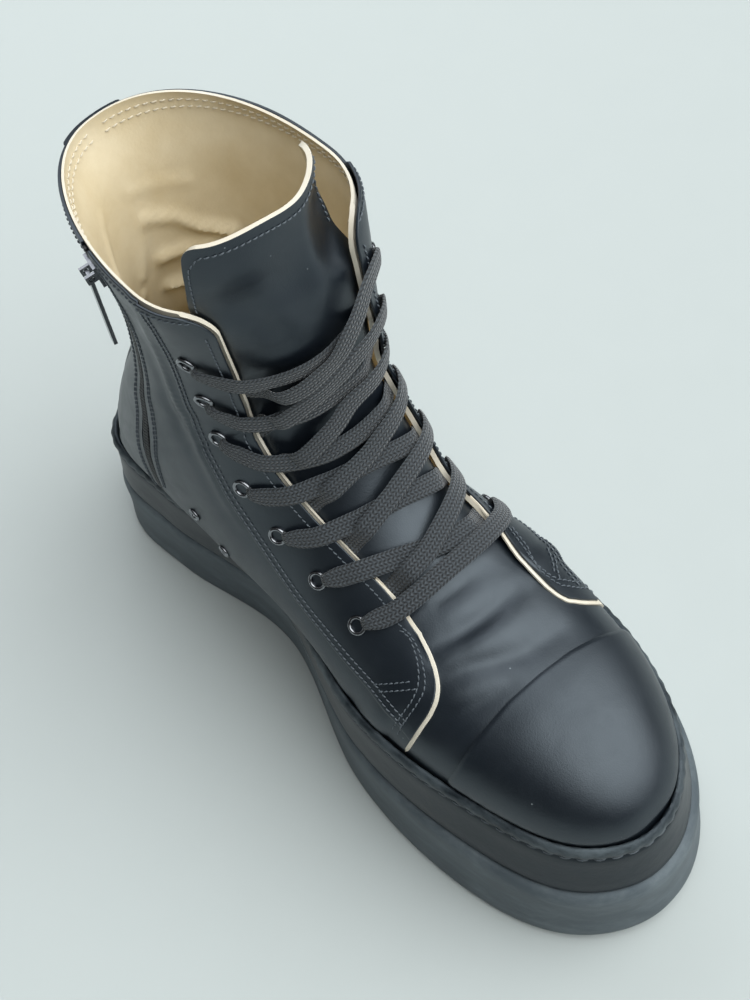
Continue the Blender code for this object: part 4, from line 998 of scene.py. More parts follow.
zip_low = (ZIP_BOTTOM[0] * SOLE_LENGTH, FEATHER + ZIP_BOTTOM[1] * SHAFT_RISE)
collar_cut = skin_points(np.full(200, float(COLLAR_ROW)), -np.linspace(0.03, 0.15, 200)) - SHIFT
zip_top = ZIP_TOP_X * SOLE_LENGTH
zip_high = (zip_top, float(np.interp(-zip_top, -collar_cut[:, 0], collar_cut[:, 2])))
zip_track = np.array([nearest_on_inner_side(
    zip_high[0] + (zip_low[0] - zip_high[0]) * share, zip_high[1] + (zip_low[1] - zip_high[1]) * share
) for share in np.linspace(0, 1.05, 44)])
zip_track[0, 0] = COLLAR_ROW
order = np.argsort(zip_track[:, 0])
ZIP_ROWS, ZIP_ARCS = zip_track[order, 0], zip_track[order, 1]
ZIP_END_ROW = float(nearest_on_inner_side(*zip_low)[0])
print("zip rows:", ZIP_ROWS[[0, -1]].round(2), "arcs:", (ZIP_ARCS[[0, -1]] * 1000).round(), "mm")


def zip_arc(rows):
    low = ZIP_ARCS[0] + (ZIP_ROWS[0] - np.asarray(rows)) * 0.022
    return np.where(rows < ZIP_ROWS[0], low, np.interp(rows, ZIP_ROWS, ZIP_ARCS))


def zip_opening(rows):
    """Half the gap between the two folded edges beside the coil. It gapes near its lower end."""
    rows = np.asarray(rows)
    gape = 0.0016 * np.exp(-(((rows - 14.4) / 1.1) ** 2))
    return 0.0003 + (0.0022 + gape) * smooth_step((rows - ZIP_END_ROW) / 0.25)


# %% Quarter sheets
STAY_LIFT, QUARTER_LIFT, LEATHER_THICKNESS = 0.00175, 0.0006, 0.0011
QUARTER_WAVES = 0.0006
LOWEST_LIFT = 0.0002


def quarter_lift(rows, arcs, points, side):
    """Outer height of the quarter: raised on the eyestay, one leather lower behind its seam."""
    seam = rear_seam(rows, side)
    lift = QUARTER_LIFT + (STAY_LIFT - QUARTER_LIFT) * smooth_step((seam - np.abs(arcs)) / 0.0011 + 0.5)
    free = above_rim(points, 0.0015)
    lift = LOWEST_LIFT + (lift - LOWEST_LIFT) * free
    return lift + crease_lift(points) * free + hide_waves(points, 0.045, QUARTER_WAVES, 1.0) * free


def quarter_sheet(name, side, rows, arcs):
    signed = arcs * side
    base, normals = skin_at(rows, signed)
    lift = quarter_lift(rows, signed, base, side)
    outer = base + normals * lift[..., None]
    inner = base + normals * (lift - LEATHER_THICKNESS)[..., None]
    return sheet(name, outer, inner, [calf_leather] * 3)


def front_grid(side, stop, row_count=150):
    """Rows and arcs of a quarter from its facing edge to stop(rows), closely spaced at the eyestay seam."""
    columns = [(s, 0.0) for s in np.linspace(0, 0.94, 15)]
    columns += [(s, 0.0) for s in (0.972, 0.986, 1.0, 1.014, 1.028)]
    columns += [(1.028, s) for s in np.linspace(0.03, 1, 48)]

    def arcs_at(rows, stay, rest):
        edge = facing_edge(rows, side)
        end = stop(rows)
        begin = np.minimum(edge + (rear_seam(rows, side) - edge) * stay, end)
        return begin + (end - begin) * rest

    grid_rows, grid_arcs = [], []
    for stay, rest in columns:
        first = 7.0
        for _ in range(8):
            first = 0.5 * first + 0.5 * float(front_row(arcs_at(np.array([first]), stay, rest)[0], side))
        rows = first + (COLLAR_ROW - first) * np.linspace(0, 1, row_count)
        grid_rows.append(rows)
        grid_arcs.append(arcs_at(rows, stay, rest))
    return np.array(grid_rows).T, np.array(grid_arcs).T


lateral_rows, lateral_arcs = front_grid(LATERAL, lambda rows: side_length(rows, LATERAL))
quarter_lateral = quarter_sheet("quarter_lateral", LATERAL, lateral_rows, lateral_arcs)
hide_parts("eyestay_lateral")


def before_zip(rows):
    whole = side_length(rows, MEDIAL)
    return np.minimum(zip_arc(rows) - zip_opening(rows), whole)


medial_rows, medial_arcs = front_grid(MEDIAL, before_zip)
quarter_medial = quarter_sheet("quarter_medial", MEDIAL, medial_rows, medial_arcs)
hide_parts("eyestay_medial", "upper")

back_rows = np.repeat(np.linspace(11.6, COLLAR_ROW, 110)[:, None], 40, 1)
back_start = np.minimum(zip_arc(back_rows) + zip_opening(back_rows), side_length(back_rows, MEDIAL) - 0.0005)
back_arcs = back_start + (side_length(back_rows, MEDIAL) - back_start) * np.linspace(0, 1, 40)[None]
quarter_back = quarter_sheet("quarter_behind_zip", MEDIAL, back_rows, back_arcs)
print("quarter faces:", sum(len(q.data.polygons) for q in (quarter_lateral, quarter_medial, quarter_back)))

# %% [markdown]
# ## Lining
# The lining follows the inside of the shaft and stands out a little past the calf at every edge. That is the
# pale line along the facings. Inside the shaft it has loosened into soft upright folds.

# %% Lining
LINING_MARKS = (
    # rows, arcs in mm, how far the fold stands in, its half width; the long one is the sewn seam
    ((20.8, 20.7, 20.6), (162, 150, 138), 0.0024, 0.0022),
    ((20.4, 20.2, 19.9, 19.6), (160, 147, 138, 124), 0.0040, 0.0026),
    ((19.7, 19.6, 19.4), (158, 146, 132), 0.0034, 0.0030),
    ((19.0, 18.8, 18.6), (160, 150, 136), 0.0036, 0.0026),
    ((18.2, 18.0, 18.2), (150, 136, 118), 0.0034, 0.0030),
    ((22.0, 21.4, 20.9, 20.3, 19.6, 17.0), (-150, -148, -144, -141, -135, -128), 0.0013, 0.0024),
    ((20.9, 20.6, 20.0), (-126, -118, -106), 0.0026, 0.0028),
)


LINING_FRONT, LINING_BACK = -0.0007, -0.0017
UPRIGHT = np.array([1.0, 1.0, 0.33])  # squeezes the noise's height, so the folds stand upright


def lining_sheet(side):
    rows = np.concatenate([np.linspace(8.6, 14, 44), np.linspace(14, COLLAR_ROW + 0.035, 110)[1:]])
    share = np.concatenate([[0, 0.006, 0.015], np.linspace(0.03, 1, 110)])
    grid_rows = np.repeat(rows[:, None], len(share), 1)
    start = facing_edge(np.minimum(rows, COLLAR_ROW), side) - 0.0008
    arcs = start[:, None] + (side_length(rows, side) - start)[:, None] * share[None]
    base, normals = skin_at(grid_rows, side * arcs)
    behind = arcs - start[:, None]
    loose = smooth_step((behind - 0.006) / 0.02) * smooth_step((COLLAR_ROW - 0.4 - grid_rows) / 2.5)
    sag = hide_waves(base * UPRIGHT, 0.018, 0.0016, 5.0) * loose - 0.0008 * loose
    marks = np.zeros_like(sag)
    for path_rows, path_arcs, depth, width in LINING_MARKS:
        far = distance_to_line(base, path_rows, path_arcs, 30)[0]
        marks += depth * np.exp(-((far / width) ** 2))
    sag = sag - marks * loose
    at_edge = 0.0009 * smooth_step(1 - behind / 0.0011)
    outer = base + normals * (LINING_FRONT + np.minimum(sag, 0.0) + at_edge)[..., None]
    inner = base + normals * (LINING_BACK + sag)[..., None]
    return sheet("lining_" + SIDES[side], outer, inner, [cut_edge, lining_skin, cut_edge], slot="lining")


for side in SIDES:
    lining_sheet(side)
print("lining made")

# %% Pale edge under the front of each quarter
STRIP_END_ROW = 9.4
STRIP_REACHES = (0.0013, 0.0006, -0.0008, -0.0016)  # metres past the quarter's edge, then under it


def edge_strip(side):
    """A narrow strip of lining that shows past the quarter's front and facing edges."""
    arcs = np.linspace(0.066, FRONT_ARCS[0], 90)
    rows = front_row(arcs, side)
    inside = arcs < side_length(rows, side) - 0.001
    up_rows = np.linspace(rows[inside][-1], STRIP_END_ROW, 40)[1:]
    edge_rows = np.concatenate([rows[inside], up_rows])
    edge_arcs = np.concatenate([arcs[inside], facing_edge(up_rows, side)])
    here, normals = skin_at(edge_rows, side * edge_arcs, TONGUE_ROW)
    out = np.cross(normals, directions(np.gradient(here, axis=0))) * side
    centre = skin_points(np.array([12.0]), np.array([side * 0.06]))[0]
    out *= np.sign(np.sum(out * (here - centre), axis=1, keepdims=True).mean())
    fade = smooth_step((STRIP_END_ROW - edge_rows) / 0.6) * above_rim(here, 0.001, 0.006)
    height = 0.0001 + 0.00065 * above_rim(here, 0.0005)[:, None]
    outer, inner = [], []
    for reach in STRIP_REACHES:
        line = here + out * (reach if reach < 0 else reach * (0.25 + 0.75 * fade[:, None]))
        outer.append(line + normals * height)
        inner.append(line + normals * -0.0002)
    outer, inner = np.array(outer), np.array(inner)
    return sheet("pale_edge_" + SIDES[side], outer, inner, [cut_edge] * 3, slot="lining", bevel=0.0002)


for side in SIDES:
    edge_strip(side)

# %% [markdown]
# ## Heel strip
# A straight band of calf covers the seam where the quarters meet at the back.

# %% Heel strip
STRIP_HALF, STRIP_THICKNESS = 0.0135, 0.0013
strip_rows = np.linspace(13.9, COLLAR_ROW, 70)
strip_across = np.concatenate([[-1, -0.97], np.linspace(-0.92, 0.92, 17), [0.97, 1]]) * STRIP_HALF
strip_arcs = np.where(
    strip_across[None] < 0,
    -(side_length(strip_rows, MEDIAL)[:, None] + strip_across[None]),
    side_length(strip_rows, LATERAL)[:, None] - strip_across[None],
)
strip_base, strip_normals = skin_at(strip_rows[:, None], strip_arcs)
skived = 1 - 0.4 * smooth_step((np.abs(strip_across)[None] - 0.0127) / 0.0008)
strip_height = 0.0004 + 0.0014 * above_rim(strip_base, 0.001) * skived
strip_height = strip_height + hide_waves(strip_base, 0.045, QUARTER_WAVES, 1.0)
strip_outer = strip_base + strip_normals * strip_height[..., None]
strip_inner = strip_base + strip_normals * (strip_height - STRIP_THICKNESS)[..., None]
heel_strip = sheet("heel_strip_leather", strip_outer, strip_inner, [calf_leather] * 3)
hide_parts("heel_strip")
print("heel strip faces:", len(heel_strip.data.polygons))

# %% [markdown]
# ## The rubber bands
# Two moulded bands are stacked under the upper, each with rounded shoulders, and the top one ends in a rolled
# rim that the stitching goes through. Each is a closed loop of stations round the sole, one loop for each
# change of its side profile.

# %% Band builder
STATIONS = 340
RIM_PITCH, RIM_SCALLOP = 0.0062, 0.00019


def spring(x):
    past = max(x / SOLE_LENGTH - SPRING_START, 0.0) / (1 - SPRING_START)
    return TOE_SPRING * past**2


def sole_loop(line_low, line_high, blend, extra, height, follow=0.0):
    """One loop at a height, between two outlines. follow says how much of the toe spring it takes."""
    stations = (1 - np.cos(np.linspace(0, np.pi, STATIONS + 1))) / 2
    stations = 0.35 * stations + 0.65 * np.linspace(0, 1, STATIONS + 1)
    loop = []
    for side, run in ((MEDIAL, stations), (LATERAL, stations[-2:0:-1])):
        for a in run:
            low = outline_point(a, side, line_low, extra)
            high = outline_point(a, side, line_high, extra)
            x, y = low + (high - low) * blend
            loop.append(np.array([x, y, height + follow * spring(x)]) + SHIFT)
    return np.array(loop)


def outward_of(loop):
    tangent = np.roll(loop, -1, 0) - np.roll(loop, 1, 0)
    outward = np.cross(tangent, np.array([0, 0, 1.0]))
    outward /= np.maximum(np.linalg.norm(outward, axis=1, keepdims=True), 1e-9)
    return outward * np.sign(np.sum(outward * (loop - loop.mean(0)), axis=1).mean())


def scalloped(loop, height):
    """The rim is drawn in a little at each stitch, so its outer face is slightly scalloped."""
    amount = np.interp(height, (0.0645, 0.0672, 0.0705, 0.0720), (0.0, 1.0, 1.0, 0.3))
    if amount == 0:
        return loop
    steps = np.linalg.norm(np.diff(loop[:, :2], axis=0, append=loop[:1, :2]), axis=1)
    gone = np.concatenate([[0], np.cumsum(steps)[:-1]])
    turns = round(steps.sum() / RIM_PITCH)
    wave = np.cos(2 * np.pi * turns * gone / steps.sum())
    uneven = np.array([noise.noise(Vector(p) / 0.011) for p in loop])
    push = RIM_SCALLOP * amount * (wave + 0.7 * uneven)
    loop = loop + outward_of(loop) * push[:, None]
    loop[:, 2] += 0.0004 * amount * uneven
    return loop


def band(name, loops, finish, rim_finish=None, rim_from=1.0):
    bm = bmesh.new()
    rings = [[bm.verts.new(p) for p in loop] for loop in loops]
    count = len(rings[0])
    for below, above in zip(rings, rings[1:]):
        for i in range(count):
            j = (i + 1) % count
            bm.faces.new((below[i], below[j], above[j], above[i]))
    for ring, downward in ((rings[0], True), (rings[-1], False)):
        for i in range(STATIONS):
            corners = [ring[i], ring[i + 1], ring[(count - i - 1) % count], ring[(count - i) % count]]
            kept = list(dict.fromkeys(corners))
            bm.faces.new(kept[::-1] if downward else kept)
    bmesh.ops.recalc_face_normals(bm, faces=bm.faces)
    for face in bm.faces:
        face.material_index = int(face.calc_center_median().z > rim_from)
    return finished_object(name, bm, [finish] + ([rim_finish] if rim_finish else []))


LOWER_PROFILE = (
    # height in mm, inset in mm, share of the toe spring
    (4.9, 1.9, 1.0), (1.3, 1.9, 1.0), (1.2, 1.2, 1.0), (1.7, 0.5, 1.0), (2.8, 0.1, 0.95), (4.5, -0.1, 0.9),
    (8, 0.0, 0.75), (14, 0.35, 0.5), (20, 0.5, 0.3), (26, 0.4, 0.15), (31, 0.1, 0.05), (34, 0.0, 0.0),
    (35.6, 0.15, 0.0), (36.9, 0.6, 0.0), (37.9, 1.4, 0.0), (38.6, 2.5, 0.0), (38.9, 3.8, 0.0),
    (39.0, 6.0, 0.0), (39.0, 9.0, 0.0),
)
lower_loops = [
    sole_loop("floor", "platform_top", min(max((z - 3) / 33, 0), 1), inset / 1000, z / 1000, follow)
    for z, inset, follow in LOWER_PROFILE
]
lower_band = band("lower_band", lower_loops, base_rubber)
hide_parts("platform")

UPPER_PROFILE = (
    # height and inset in mm; from 66 mm up it is the rolled rim
    (39.3, 4.0), (39.35, 1.6), (39.9, 0.7), (41.0, 0.2), (43, 0.0), (48, 0.1), (54, 0.25), (60, 0.2),
    (63.2, 0.15), (64.6, 0.35), (65.2, 0.75), (65.8, 0.8), (66.3, 0.3), (67.2, -0.35), (68.4, -0.6),
    (69.6, -0.55), (70.7, -0.15), (71.5, 0.5), (71.95, 1.2), (72.0, 1.9), (71.6, 2.35), (70.5, 2.6),
    (68, 2.7), (66.0, 2.75), (66.0, 6.0),
)
RIM_FROM = 0.0665
upper_loops = []
for z, inset in UPPER_PROFILE:
    loop = sole_loop("foxing_bottom", "foxing_top", min(max((z - 40) / 28, 0), 1), inset / 1000, z / 1000)
    upper_loops.append(scalloped(loop, z / 1000))
upper_band = band("upper_band", upper_loops, band_rubber, rim_rubber, RIM_FROM)
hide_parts("foxing")
print("band faces:", len(lower_band.data.polygons) + len(upper_band.data.polygons))

# %% [markdown]
# ## Eyelets and vents
# Turned metal rings, rolled over at the front. The eyelets sit on the doubled leather at an even pitch, and
# two smaller vents sit low on the inner side.

# %% Rings
def ring_mesh(bm, centre, normal, along, radius, hole, rise, depth, segments=28):
    turned = []
    for k in range(11):
        a = math.pi * k / 10
        turned.append(((radius + hole) / 2 + (radius - hole) / 2 * math.cos(a), rise * math.sin(a)))
    turned += [(hole, -depth), (hole + 0.0004, -depth), (hole + 0.0005, -0.0002), (radius * 0.98, -0.0002)]
    sideways = np.cross(normal, along)
    rings = []
    for k in range(segments):
        a = 2 * math.pi * k / segments
        out = along * math.cos(a) + sideways * math.sin(a)
        rings.append([bm.verts.new(centre + out * r + normal * h) for r, h in turned])
    for one, two in zip(rings, rings[1:] + rings[:1]):
        for i in range(len(turned)):
            j = (i + 1) % len(turned)
            bm.faces.new((one[i], one[j], two[j], two[i]))


def frame_at(row, arc, lift):
    """A place on the surface with its outward direction and the direction up the shaft."""
    points, normals = skin_at(np.array([row, row - 0.1, row + 0.1]), np.full(3, arc))
    normal = normals[0]
    forward = points[2] - points[1]
    forward -= normal * np.dot(forward, normal)
    return points[0] + normal * lift, normal, forward / np.linalg.norm(forward)


def eyelet_rows(side):
    rows = np.arange(FIRST_EYELET_ROW, COLLAR_ROW, 0.01)
    line = skin_points(rows, side * (facing_arc(rows)[side] + EYELET_INSET))
    return [float(np.interp(EYELET_PITCH * k, run_length(line), rows)) for k in range(EYELET_COUNT)]


# radius, hole, rise and depth in metres
EYELET_SIZES = (0.0040, 0.0023, 0.0010, 0.0034)
VENT_SIZES = (0.0030, 0.0014, 0.0009, 0.0015)
EYELETS = {
    side: [(r, float(facing_arc(r)[side][0]) + EYELET_INSET) for r in eyelet_rows(side)] for side in SIDES
}
for side in SIDES:
    bm = bmesh.new()
    for row, arc in EYELETS[side]:
        ring_mesh(bm, *frame_at(row, side * arc, STAY_LIFT + 0.0002), *EYELET_SIZES)
    bmesh.ops.recalc_face_normals(bm, faces=bm.faces)
    rings = finished_object("eyelets_" + SIDES[side], bm, [black_nickel])
    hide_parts(*[f"eyelet_{SIDES[side]}_{k}" for k in range(1, EYELET_COUNT + 1)])
bm = bmesh.new()
for x, z in VENTS:
    row, arc = nearest_on_inner_side(x * SOLE_LENGTH, FEATHER + z * SHAFT_RISE)
    ring_mesh(bm, *frame_at(row, -arc, QUARTER_LIFT + 0.0003), *VENT_SIZES)
bmesh.ops.recalc_face_normals(bm, faces=bm.faces)
vents = finished_object("vents", bm, [black_nickel])
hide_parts("vent_1", "vent_2")
print("eyelet rows:", [round(r, 2) for r, _ in EYELETS[MEDIAL]])

# %% [markdown]
# ## Laces
# One flat lace goes straight across at the lowest eyelets and then crosses six times. At each crossing a
# strand comes out from under one facing, lies over the tongue, and goes down through the next eyelet on the
# other side, where it bunches to fit the hole. A strand is a rounded flat tube swept along a smooth line.

# %% Lace strands
LACE_HALF, LACE_THICK, LACE_SIDES = 0.0040, 0.0013, 16


def lace_tube(name, path, normals, widths, thick):
    """Sweeps a flat rounded section. Its UVs are millimetres along and across."""
    bm = bmesh.new()
    uv_layer = bm.loops.layers.uv.new("UVMap")
    gone = run_length(path)
    forward = directions(np.gradient(path, axis=0))
    rings, vs = [], []
    for k in range(len(path)):
        out = normals[k] - forward[k] * np.dot(normals[k], forward[k])
        out /= np.linalg.norm(out)
        wide = np.cross(out, forward[k])
        ring, v_line = [], []
        for s in range(LACE_SIDES):
            a = 2 * math.pi * s / LACE_SIDES
            c, d = math.cos(a), math.sin(a)
            off_w = math.copysign(abs(c) ** 0.6, c) * widths[k]
            off_h = math.copysign(abs(d) ** 0.8, d) * thick[k] / 2
            ring.append(bm.verts.new(path[k] + wide * off_w + out * off_h))
            v_line.append(off_w / widths[k] * LACE_HALF * 1000 + (0.0 if d >= 0 else 20.0))
        rings.append(ring)
        vs.append(v_line)
    for k in range(len(rings) - 1):
        for s in range(LACE_SIDES):
            t = (s + 1) % LACE_SIDES
            face = bm.faces.new((rings[k][s], rings[k][t], rings[k + 1][t], rings[k + 1][s]))
            for loop, (i, j) in zip(face.loops, ((k, s), (k, t), (k + 1, t), (k + 1, s))):
                loop[uv_layer].uv = (gone[i] * 1000, vs[i][j] % 20.0 if vs[i][j] >= 10 else vs[i][j])
    for ring in (rings[0][::-1], rings[-1]):
        bm.faces.new(ring)
    bmesh.ops.recalc_face_normals(bm, faces=bm.faces)
    return finished_object(name, bm, [lace_weave])


ROW_MM = 12.0  # a row is about 12 mm long where the laces lie


def rounded_line(values, count=110, passes=26):
    """Evenly shared points along a polyline, smoothed while its ends stay."""
    values = np.array(values, float)
    gone = run_length(values * np.array([ROW_MM, 1.0]))
    line = resampled(values, gone, np.linspace(0, gone[-1], count))
    for _ in range(passes):
        line[1:-1] = (line[:-2] + 2 * line[1:-1] + line[2:]) / 4
    return line


LACE_LENGTHS = []


def strand(name, route, from_eyelet, height):
    """A strand along a route of (row, arc in mm), from an eyelet or under a facing to an eyelet."""
    line = rounded_line(route)
    rows, arcs = line[:, 0], line[:, 1] / 1000
    base, normals = skin_at(rows, arcs)
    gone = run_length(base)
    LACE_LENGTHS.append(float(gone[-1]))
    from_start, from_end = gone, gone[-1] - gone
    sit = STAY_LIFT + LACE_THICK / 2 + 0.0009
    level = np.full(len(rows), height)

    def over_facing(level, away):
        climb = smooth_step((0.031 - away) / 0.016)
        level = level * (1 - climb) + max(sit, height * 0.8) * climb
        settle = smooth_step((0.013 - away) / 0.009)
        level = level * (1 - settle) + (sit + 0.0004) * settle
        return level - 0.0062 * smooth_step((0.0034 - away) / 0.0034)

    level = over_facing(level, from_end)
    narrow = 1 - 0.40 * smooth_step((0.010 - from_end) / 0.008)
    if from_eyelet:
        level = over_facing(level, from_start)
        narrow = narrow * (1 - 0.40 * smooth_step((0.010 - from_start) / 0.008))
    else:
        under = smooth_step((0.0185 - from_start) / 0.0095)
        level = level * (1 - under) - 0.0024 * under
    path = base + normals * level[:, None]
    for _ in range(4):
        path[1:-1] = (path[:-2] + path[1:-1] * 2 + path[2:]) / 4
    return lace_tube(name, path, normals, LACE_HALF * narrow, LACE_THICK * (1 + 1.1 * (1 - narrow)))


# Routes read off the boot, as (row, arc in mm); the eyelet at the end is added from EYELETS.
BOTTOM_RUN = ((8.62, -27), (8.60, -14), (8.62, -3), (8.60, 18), (8.6, 34))
SHALLOW_RUNS = (
    ((8.98, 35), (8.95, 19), (9.1, 3), (9.36, -8), (9.66, -23)),
    ((10.05, 36), (10.23, 20), (10.46, 2), (10.54, -16), (10.7, -32)),
    ((11.15, 37), (11.3, 20), (11.44, 3), (11.48, -14), (11.6, -28), (11.86, -38.5)),
    ((12.6, 36), (12.4, 20), (12.12, 4), (12.06, -9), (12.22, -22), (12.6, -33), (13.3, -42)),
    ((15.4, 34), (14.7, 18), (13.95, 4), (13.65, -9), (13.95, -22), (14.9, -34), (16.3, -42.5)),
    ((18.6, 32), (18.4, 14), (17.75, 4), (17.45, -6), (17.55, -16), (18.2, -27), (19.1, -37)),
)
STEEP_RUNS = (
    ((9.0, -31), (9.05, -20), (9.18, -4), (9.6, 14), (9.95, 30), (10.1, 40)),
    ((10.1, -33), (10.3, -18), (10.63, 0), (11.0, 16), (11.3, 30), (11.35, 41)),
    ((11.15, -34), (11.35, -16), (11.66, 2.5), (12.15, 18), (12.6, 31), (12.65, 41)),
    ((12.15, -35), (12.3, -15), (12.75, 0), (13.7, 14), (14.9, 28), (14.95, 39)),
    ((13.5, -35), (14.1, -16), (15.3, -2), (16.8, 13), (17.9, 25), (17.95, 36)),
    ((17.0, -34), (16.1, -20), (16.2, -8), (17.3, 3.5), (18.9, 14), (20.1, 24), (20.3, 35)),
)


def eyelet_point(side, index):
    row, arc = EYELETS[side][index]
    return row, side * arc * 1000


OVER, UNDER = 0.0034, 0.0010  # how high the steep and the shallow strands lie over the tongue
bar = strand("lace_bottom", (eyelet_point(MEDIAL, 0), *BOTTOM_RUN, eyelet_point(LATERAL, 0)), True, OVER)
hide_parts("lace_bar")
for k, (shallow, steep) in enumerate(zip(SHALLOW_RUNS, STEEP_RUNS)):
    strand(f"lace_shallow_{k + 1}", (*shallow, eyelet_point(MEDIAL, k + 1)), False, UNDER)
    crossing = strand(f"lace_steep_{k + 1}", (*steep, eyelet_point(LATERAL, k + 1)), False, OVER)
    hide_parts(f"lace_cross_{k + 1}")
print("strands:", len(LACE_LENGTHS), "mm:", [round(v * 1000) for v in LACE_LENGTHS])
print("in all", round(sum(LACE_LENGTHS), 2), "m of lace in sight")

# %% [markdown]
# ## Side zip
# A black coil between two woven tapes, set in behind the folded edges of the inner quarter. The slider hangs
# just below the collar with its long narrow pull.

# %% Zip
rows_down = np.linspace(COLLAR_ROW - 0.02, ZIP_END_ROW, 160)
arcs_down = zip_arc(rows_down)
TAPE_HALF, TAPE_FRONT, TAPE_BACK = 0.006, -0.00055, -0.00068
tape_arcs = -(arcs_down[:, None] + np.linspace(-TAPE_HALF, TAPE_HALF, 9)[None])
tape_base, tape_normals = skin_at(rows_down[:, None], tape_arcs)
tape_faces = [tape_base + tape_normals * lift for lift in (TAPE_FRONT, TAPE_BACK)]
tape = sheet("zip_tape", *tape_faces, [zip_cloth] * 3, slot="zip_tape", bevel=0)
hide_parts("zip_chain")

TOOTH = (0.0024, 0.00105, 0.0011)
TOOTH_LEAN = 0.0011
track, track_normals = path_on_skin(rows_down, -arcs_down, 0.0)
bm = bmesh.new()
for k in range(2, len(track) - 1):
    forward = track[k + 1] - track[k - 1]
    forward /= np.linalg.norm(forward)
    sideways = np.cross(track_normals[k], forward)
    lean = 1 if k % 2 else -1
    centre = track[k] + sideways * lean * TOOTH_LEAN + track_normals[k] * 0.0001
    turn = Matrix((Vector(sideways), Vector(forward), Vector(track_normals[k]))).transposed().to_4x4()
    size = Matrix.Diagonal((*TOOTH, 1.0))
    bmesh.ops.create_cube(bm, size=1.0, matrix=Matrix.Translation(centre) @ turn @ size)
coil = finished_object("zip_coil", bm, [zip_coil])
soft = coil.modifiers.new("rounded", "BEVEL")
soft.width = 0.0002
soft.segments = 1
print("zip teeth:", len(track) - 3)

# %% Finishes of the solids that stay
KEPT_SOLIDS = {
    "outsole": tread_rubber, "insole": lining_skin, "zip_slider": black_nickel, "zip_pull": black_nickel,
}
for node_name, finish in KEPT_SOLIDS.items():
    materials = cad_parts[node_name].data.materials
    if not materials:
        materials.append(finish)
    for index in range(len(materials)):
        materials[index] = finish
print("kept solids finished")

# %% [markdown]
# ## Seams
# Last come the stitches: two rows at the eyestay's rear edge and along its front, two on either side of the
# zip, one along the collar and its lining's two, one round the tongue's top, and those of the rolled rim.

# %% Seam lines
def seam_on_quarter(rows, arcs, side):
    """A seam line that lies on the finished quarter, for arrays of rows and unsigned arcs."""
    rows, arcs = np.broadcast_arrays(np.asarray(rows, float), np.asarray(arcs, float))
    kept = arcs < side_length(rows, side) - 0.0004
    rows, arcs = rows[kept], arcs[kept]
    base = skin_points(rows, side * arcs)
    lift = quarter_lift(rows[:, None], (side * arcs)[:, None], base[:, None], side)[:, 0]
    return path_on_skin(rows, side * arcs, lift)


ROW_LENGTH = 0.0125  # a row's length near the front edge
seams = []
for side, lowest in ((MEDIAL, 6.95), (LATERAL, 6.45)):
    rows = np.linspace(lowest, COLLAR_ROW - 0.1, 160)
    for inside in (0.0020, 0.0046):
        seams.append(seam_on_quarter(rows, rear_seam(rows, side) - inside, side))
    up_rows = np.linspace(FRONT_EDGE[side][1][0], COLLAR_ROW - 0.7, 160)
    arcs = np.linspace(0.058, FRONT_ARCS[0], 80)
    near_edge = np.concatenate([front_row(arcs, side), up_rows])
    near_arcs = np.concatenate([arcs, facing_edge(up_rows, side)])
    push = np.clip((up_rows[0] + 0.4 - near_edge) / 0.8, 0, 1)
    for behind, last_row in ((0.0034, COLLAR_ROW), (0.0052, 8.4)):
        # steps away from the edge, back over the quarter
        keep = near_edge < last_row
        seam_rows = near_edge + push * behind / ROW_LENGTH
        seam_arcs = near_arcs + (1 - push * 0.75) * behind
        seams.append(seam_on_quarter(seam_rows[keep], seam_arcs[keep], side))
BAR_TACKS = ((MEDIAL, (7.68, 7.2), (51, 37.5)), (LATERAL, (7.25, 6.8), (39, 32.5)))
for side, rows, arcs in BAR_TACKS:
    for step in (0.0, 0.17):
        seams.append(seam_on_quarter(np.linspace(*rows, 40) + step, np.linspace(*arcs, 40) / 1000, side))
zip_rows = np.linspace(ZIP_END_ROW + 0.15, COLLAR_ROW - 0.3, 140)
for way, distance in ((-1, 0.0048), (-1, 0.0068), (1, 0.0048), (1, 0.0066)):
    beside = zip_arc(zip_rows) + way * (zip_opening(zip_rows) + distance)
    seams.append(seam_on_quarter(zip_rows, beside, MEDIAL))
stitches("seam_stitches", seams, seam_thread)

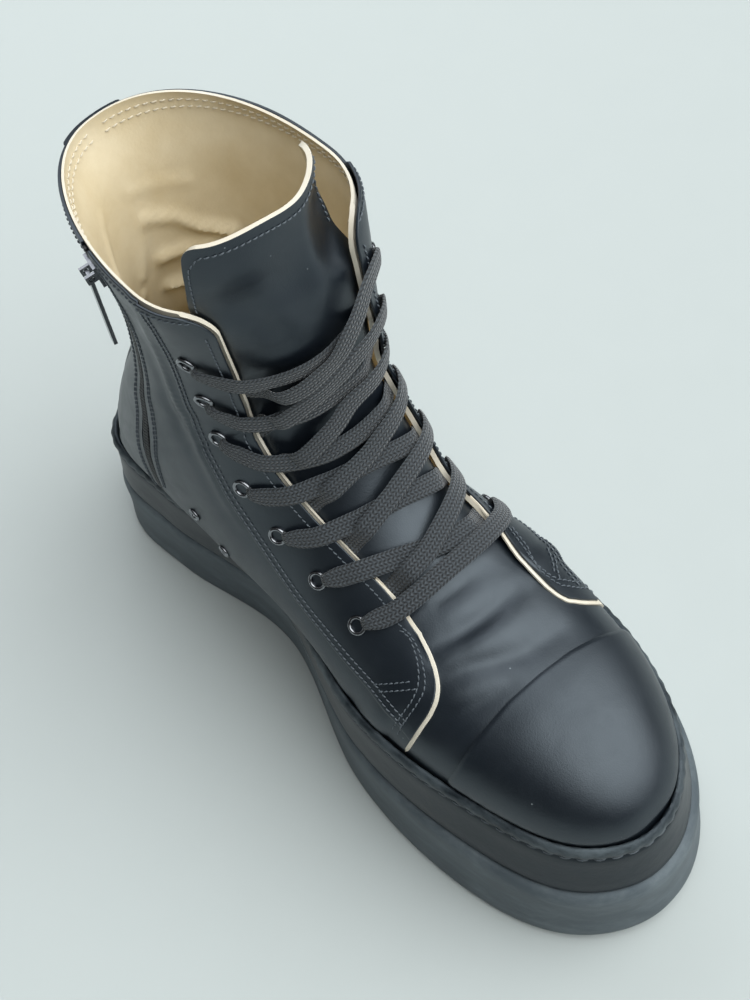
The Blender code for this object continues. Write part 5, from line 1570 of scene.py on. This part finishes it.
# %% Collar, tongue and rim stitches
COLLAR_STITCH_ROW = 21.84
ZIP_MARGIN = 0.0025
collar_lines = []
for side in SIDES:
    first = float(facing_edge(np.array([21.0]), side)[0]) + 0.006
    stops = [first, float(side_length(21.75, side)) - 0.001]
    if side == MEDIAL:
        rows = np.array([COLLAR_STITCH_ROW])
        middle, half = float(zip_arc(rows)[0]), float(zip_opening(rows)[0]) + ZIP_MARGIN
        stops[1:1] = [middle - half, middle + half]
    for start, end in zip(stops[::2], stops[1::2]):
        collar_lines.append((side, np.full(150, COLLAR_STITCH_ROW), np.linspace(start, end, 150)))
outer_collar = [seam_on_quarter(rows, arcs, side) for side, rows, arcs in collar_lines]
stitches("collar_stitches", outer_collar, seam_thread)
inner_collar = []
for side, rows, arcs in collar_lines:
    for drop in (0.0, 0.15):
        points, normals = path_on_skin(rows - drop, side * arcs, -0.0018)
        inner_collar.append((points, -normals))
stitches("lining_stitches", inner_collar, lining_thread, 0.0032, 0.0026, 0.00036)

edge_share = np.linspace(-1, 1, 90)
edge_arcs = 0.0365 * edge_share
top_line = tongue_top(edge_arcs) - 0.26 - 0.34 * np.clip((np.abs(edge_share) - 0.86) / 0.14, 0, 1) ** 2
down_rows = np.linspace(21.9, float(top_line[0]), 40)[:-1]
tongue_rows = np.concatenate([down_rows, top_line, down_rows[::-1]])
side_arcs = 0.0333 + 0.0032 * smooth_step((down_rows - 22) / 1.4)
tongue_arcs = np.concatenate([-side_arcs, edge_arcs, side_arcs[::-1]])
tongue_lift = tongue_waves(skin_points(tongue_rows, tongue_arcs)) - VAMP_DIP
tongue_lift = tongue_lift - tongue_curl(tongue_rows, tongue_arcs)
stitches("tongue_stitches", [path_on_skin(tongue_rows, tongue_arcs, tongue_lift)], seam_thread)

rim_line = sole_loop("foxing_bottom", "foxing_top", 0.9, 0.0006, 0.0655)
gone = run_length(rim_line)
rim_points = resampled(rim_line, gone, np.arange(0, gone[-1], PATH_STEP))
rim_seam = [(rim_points, outward_of(rim_points))]
stitches("rim_stitches", rim_seam, seam_thread, RIM_PITCH, length=0.0050, radius=0.00042)
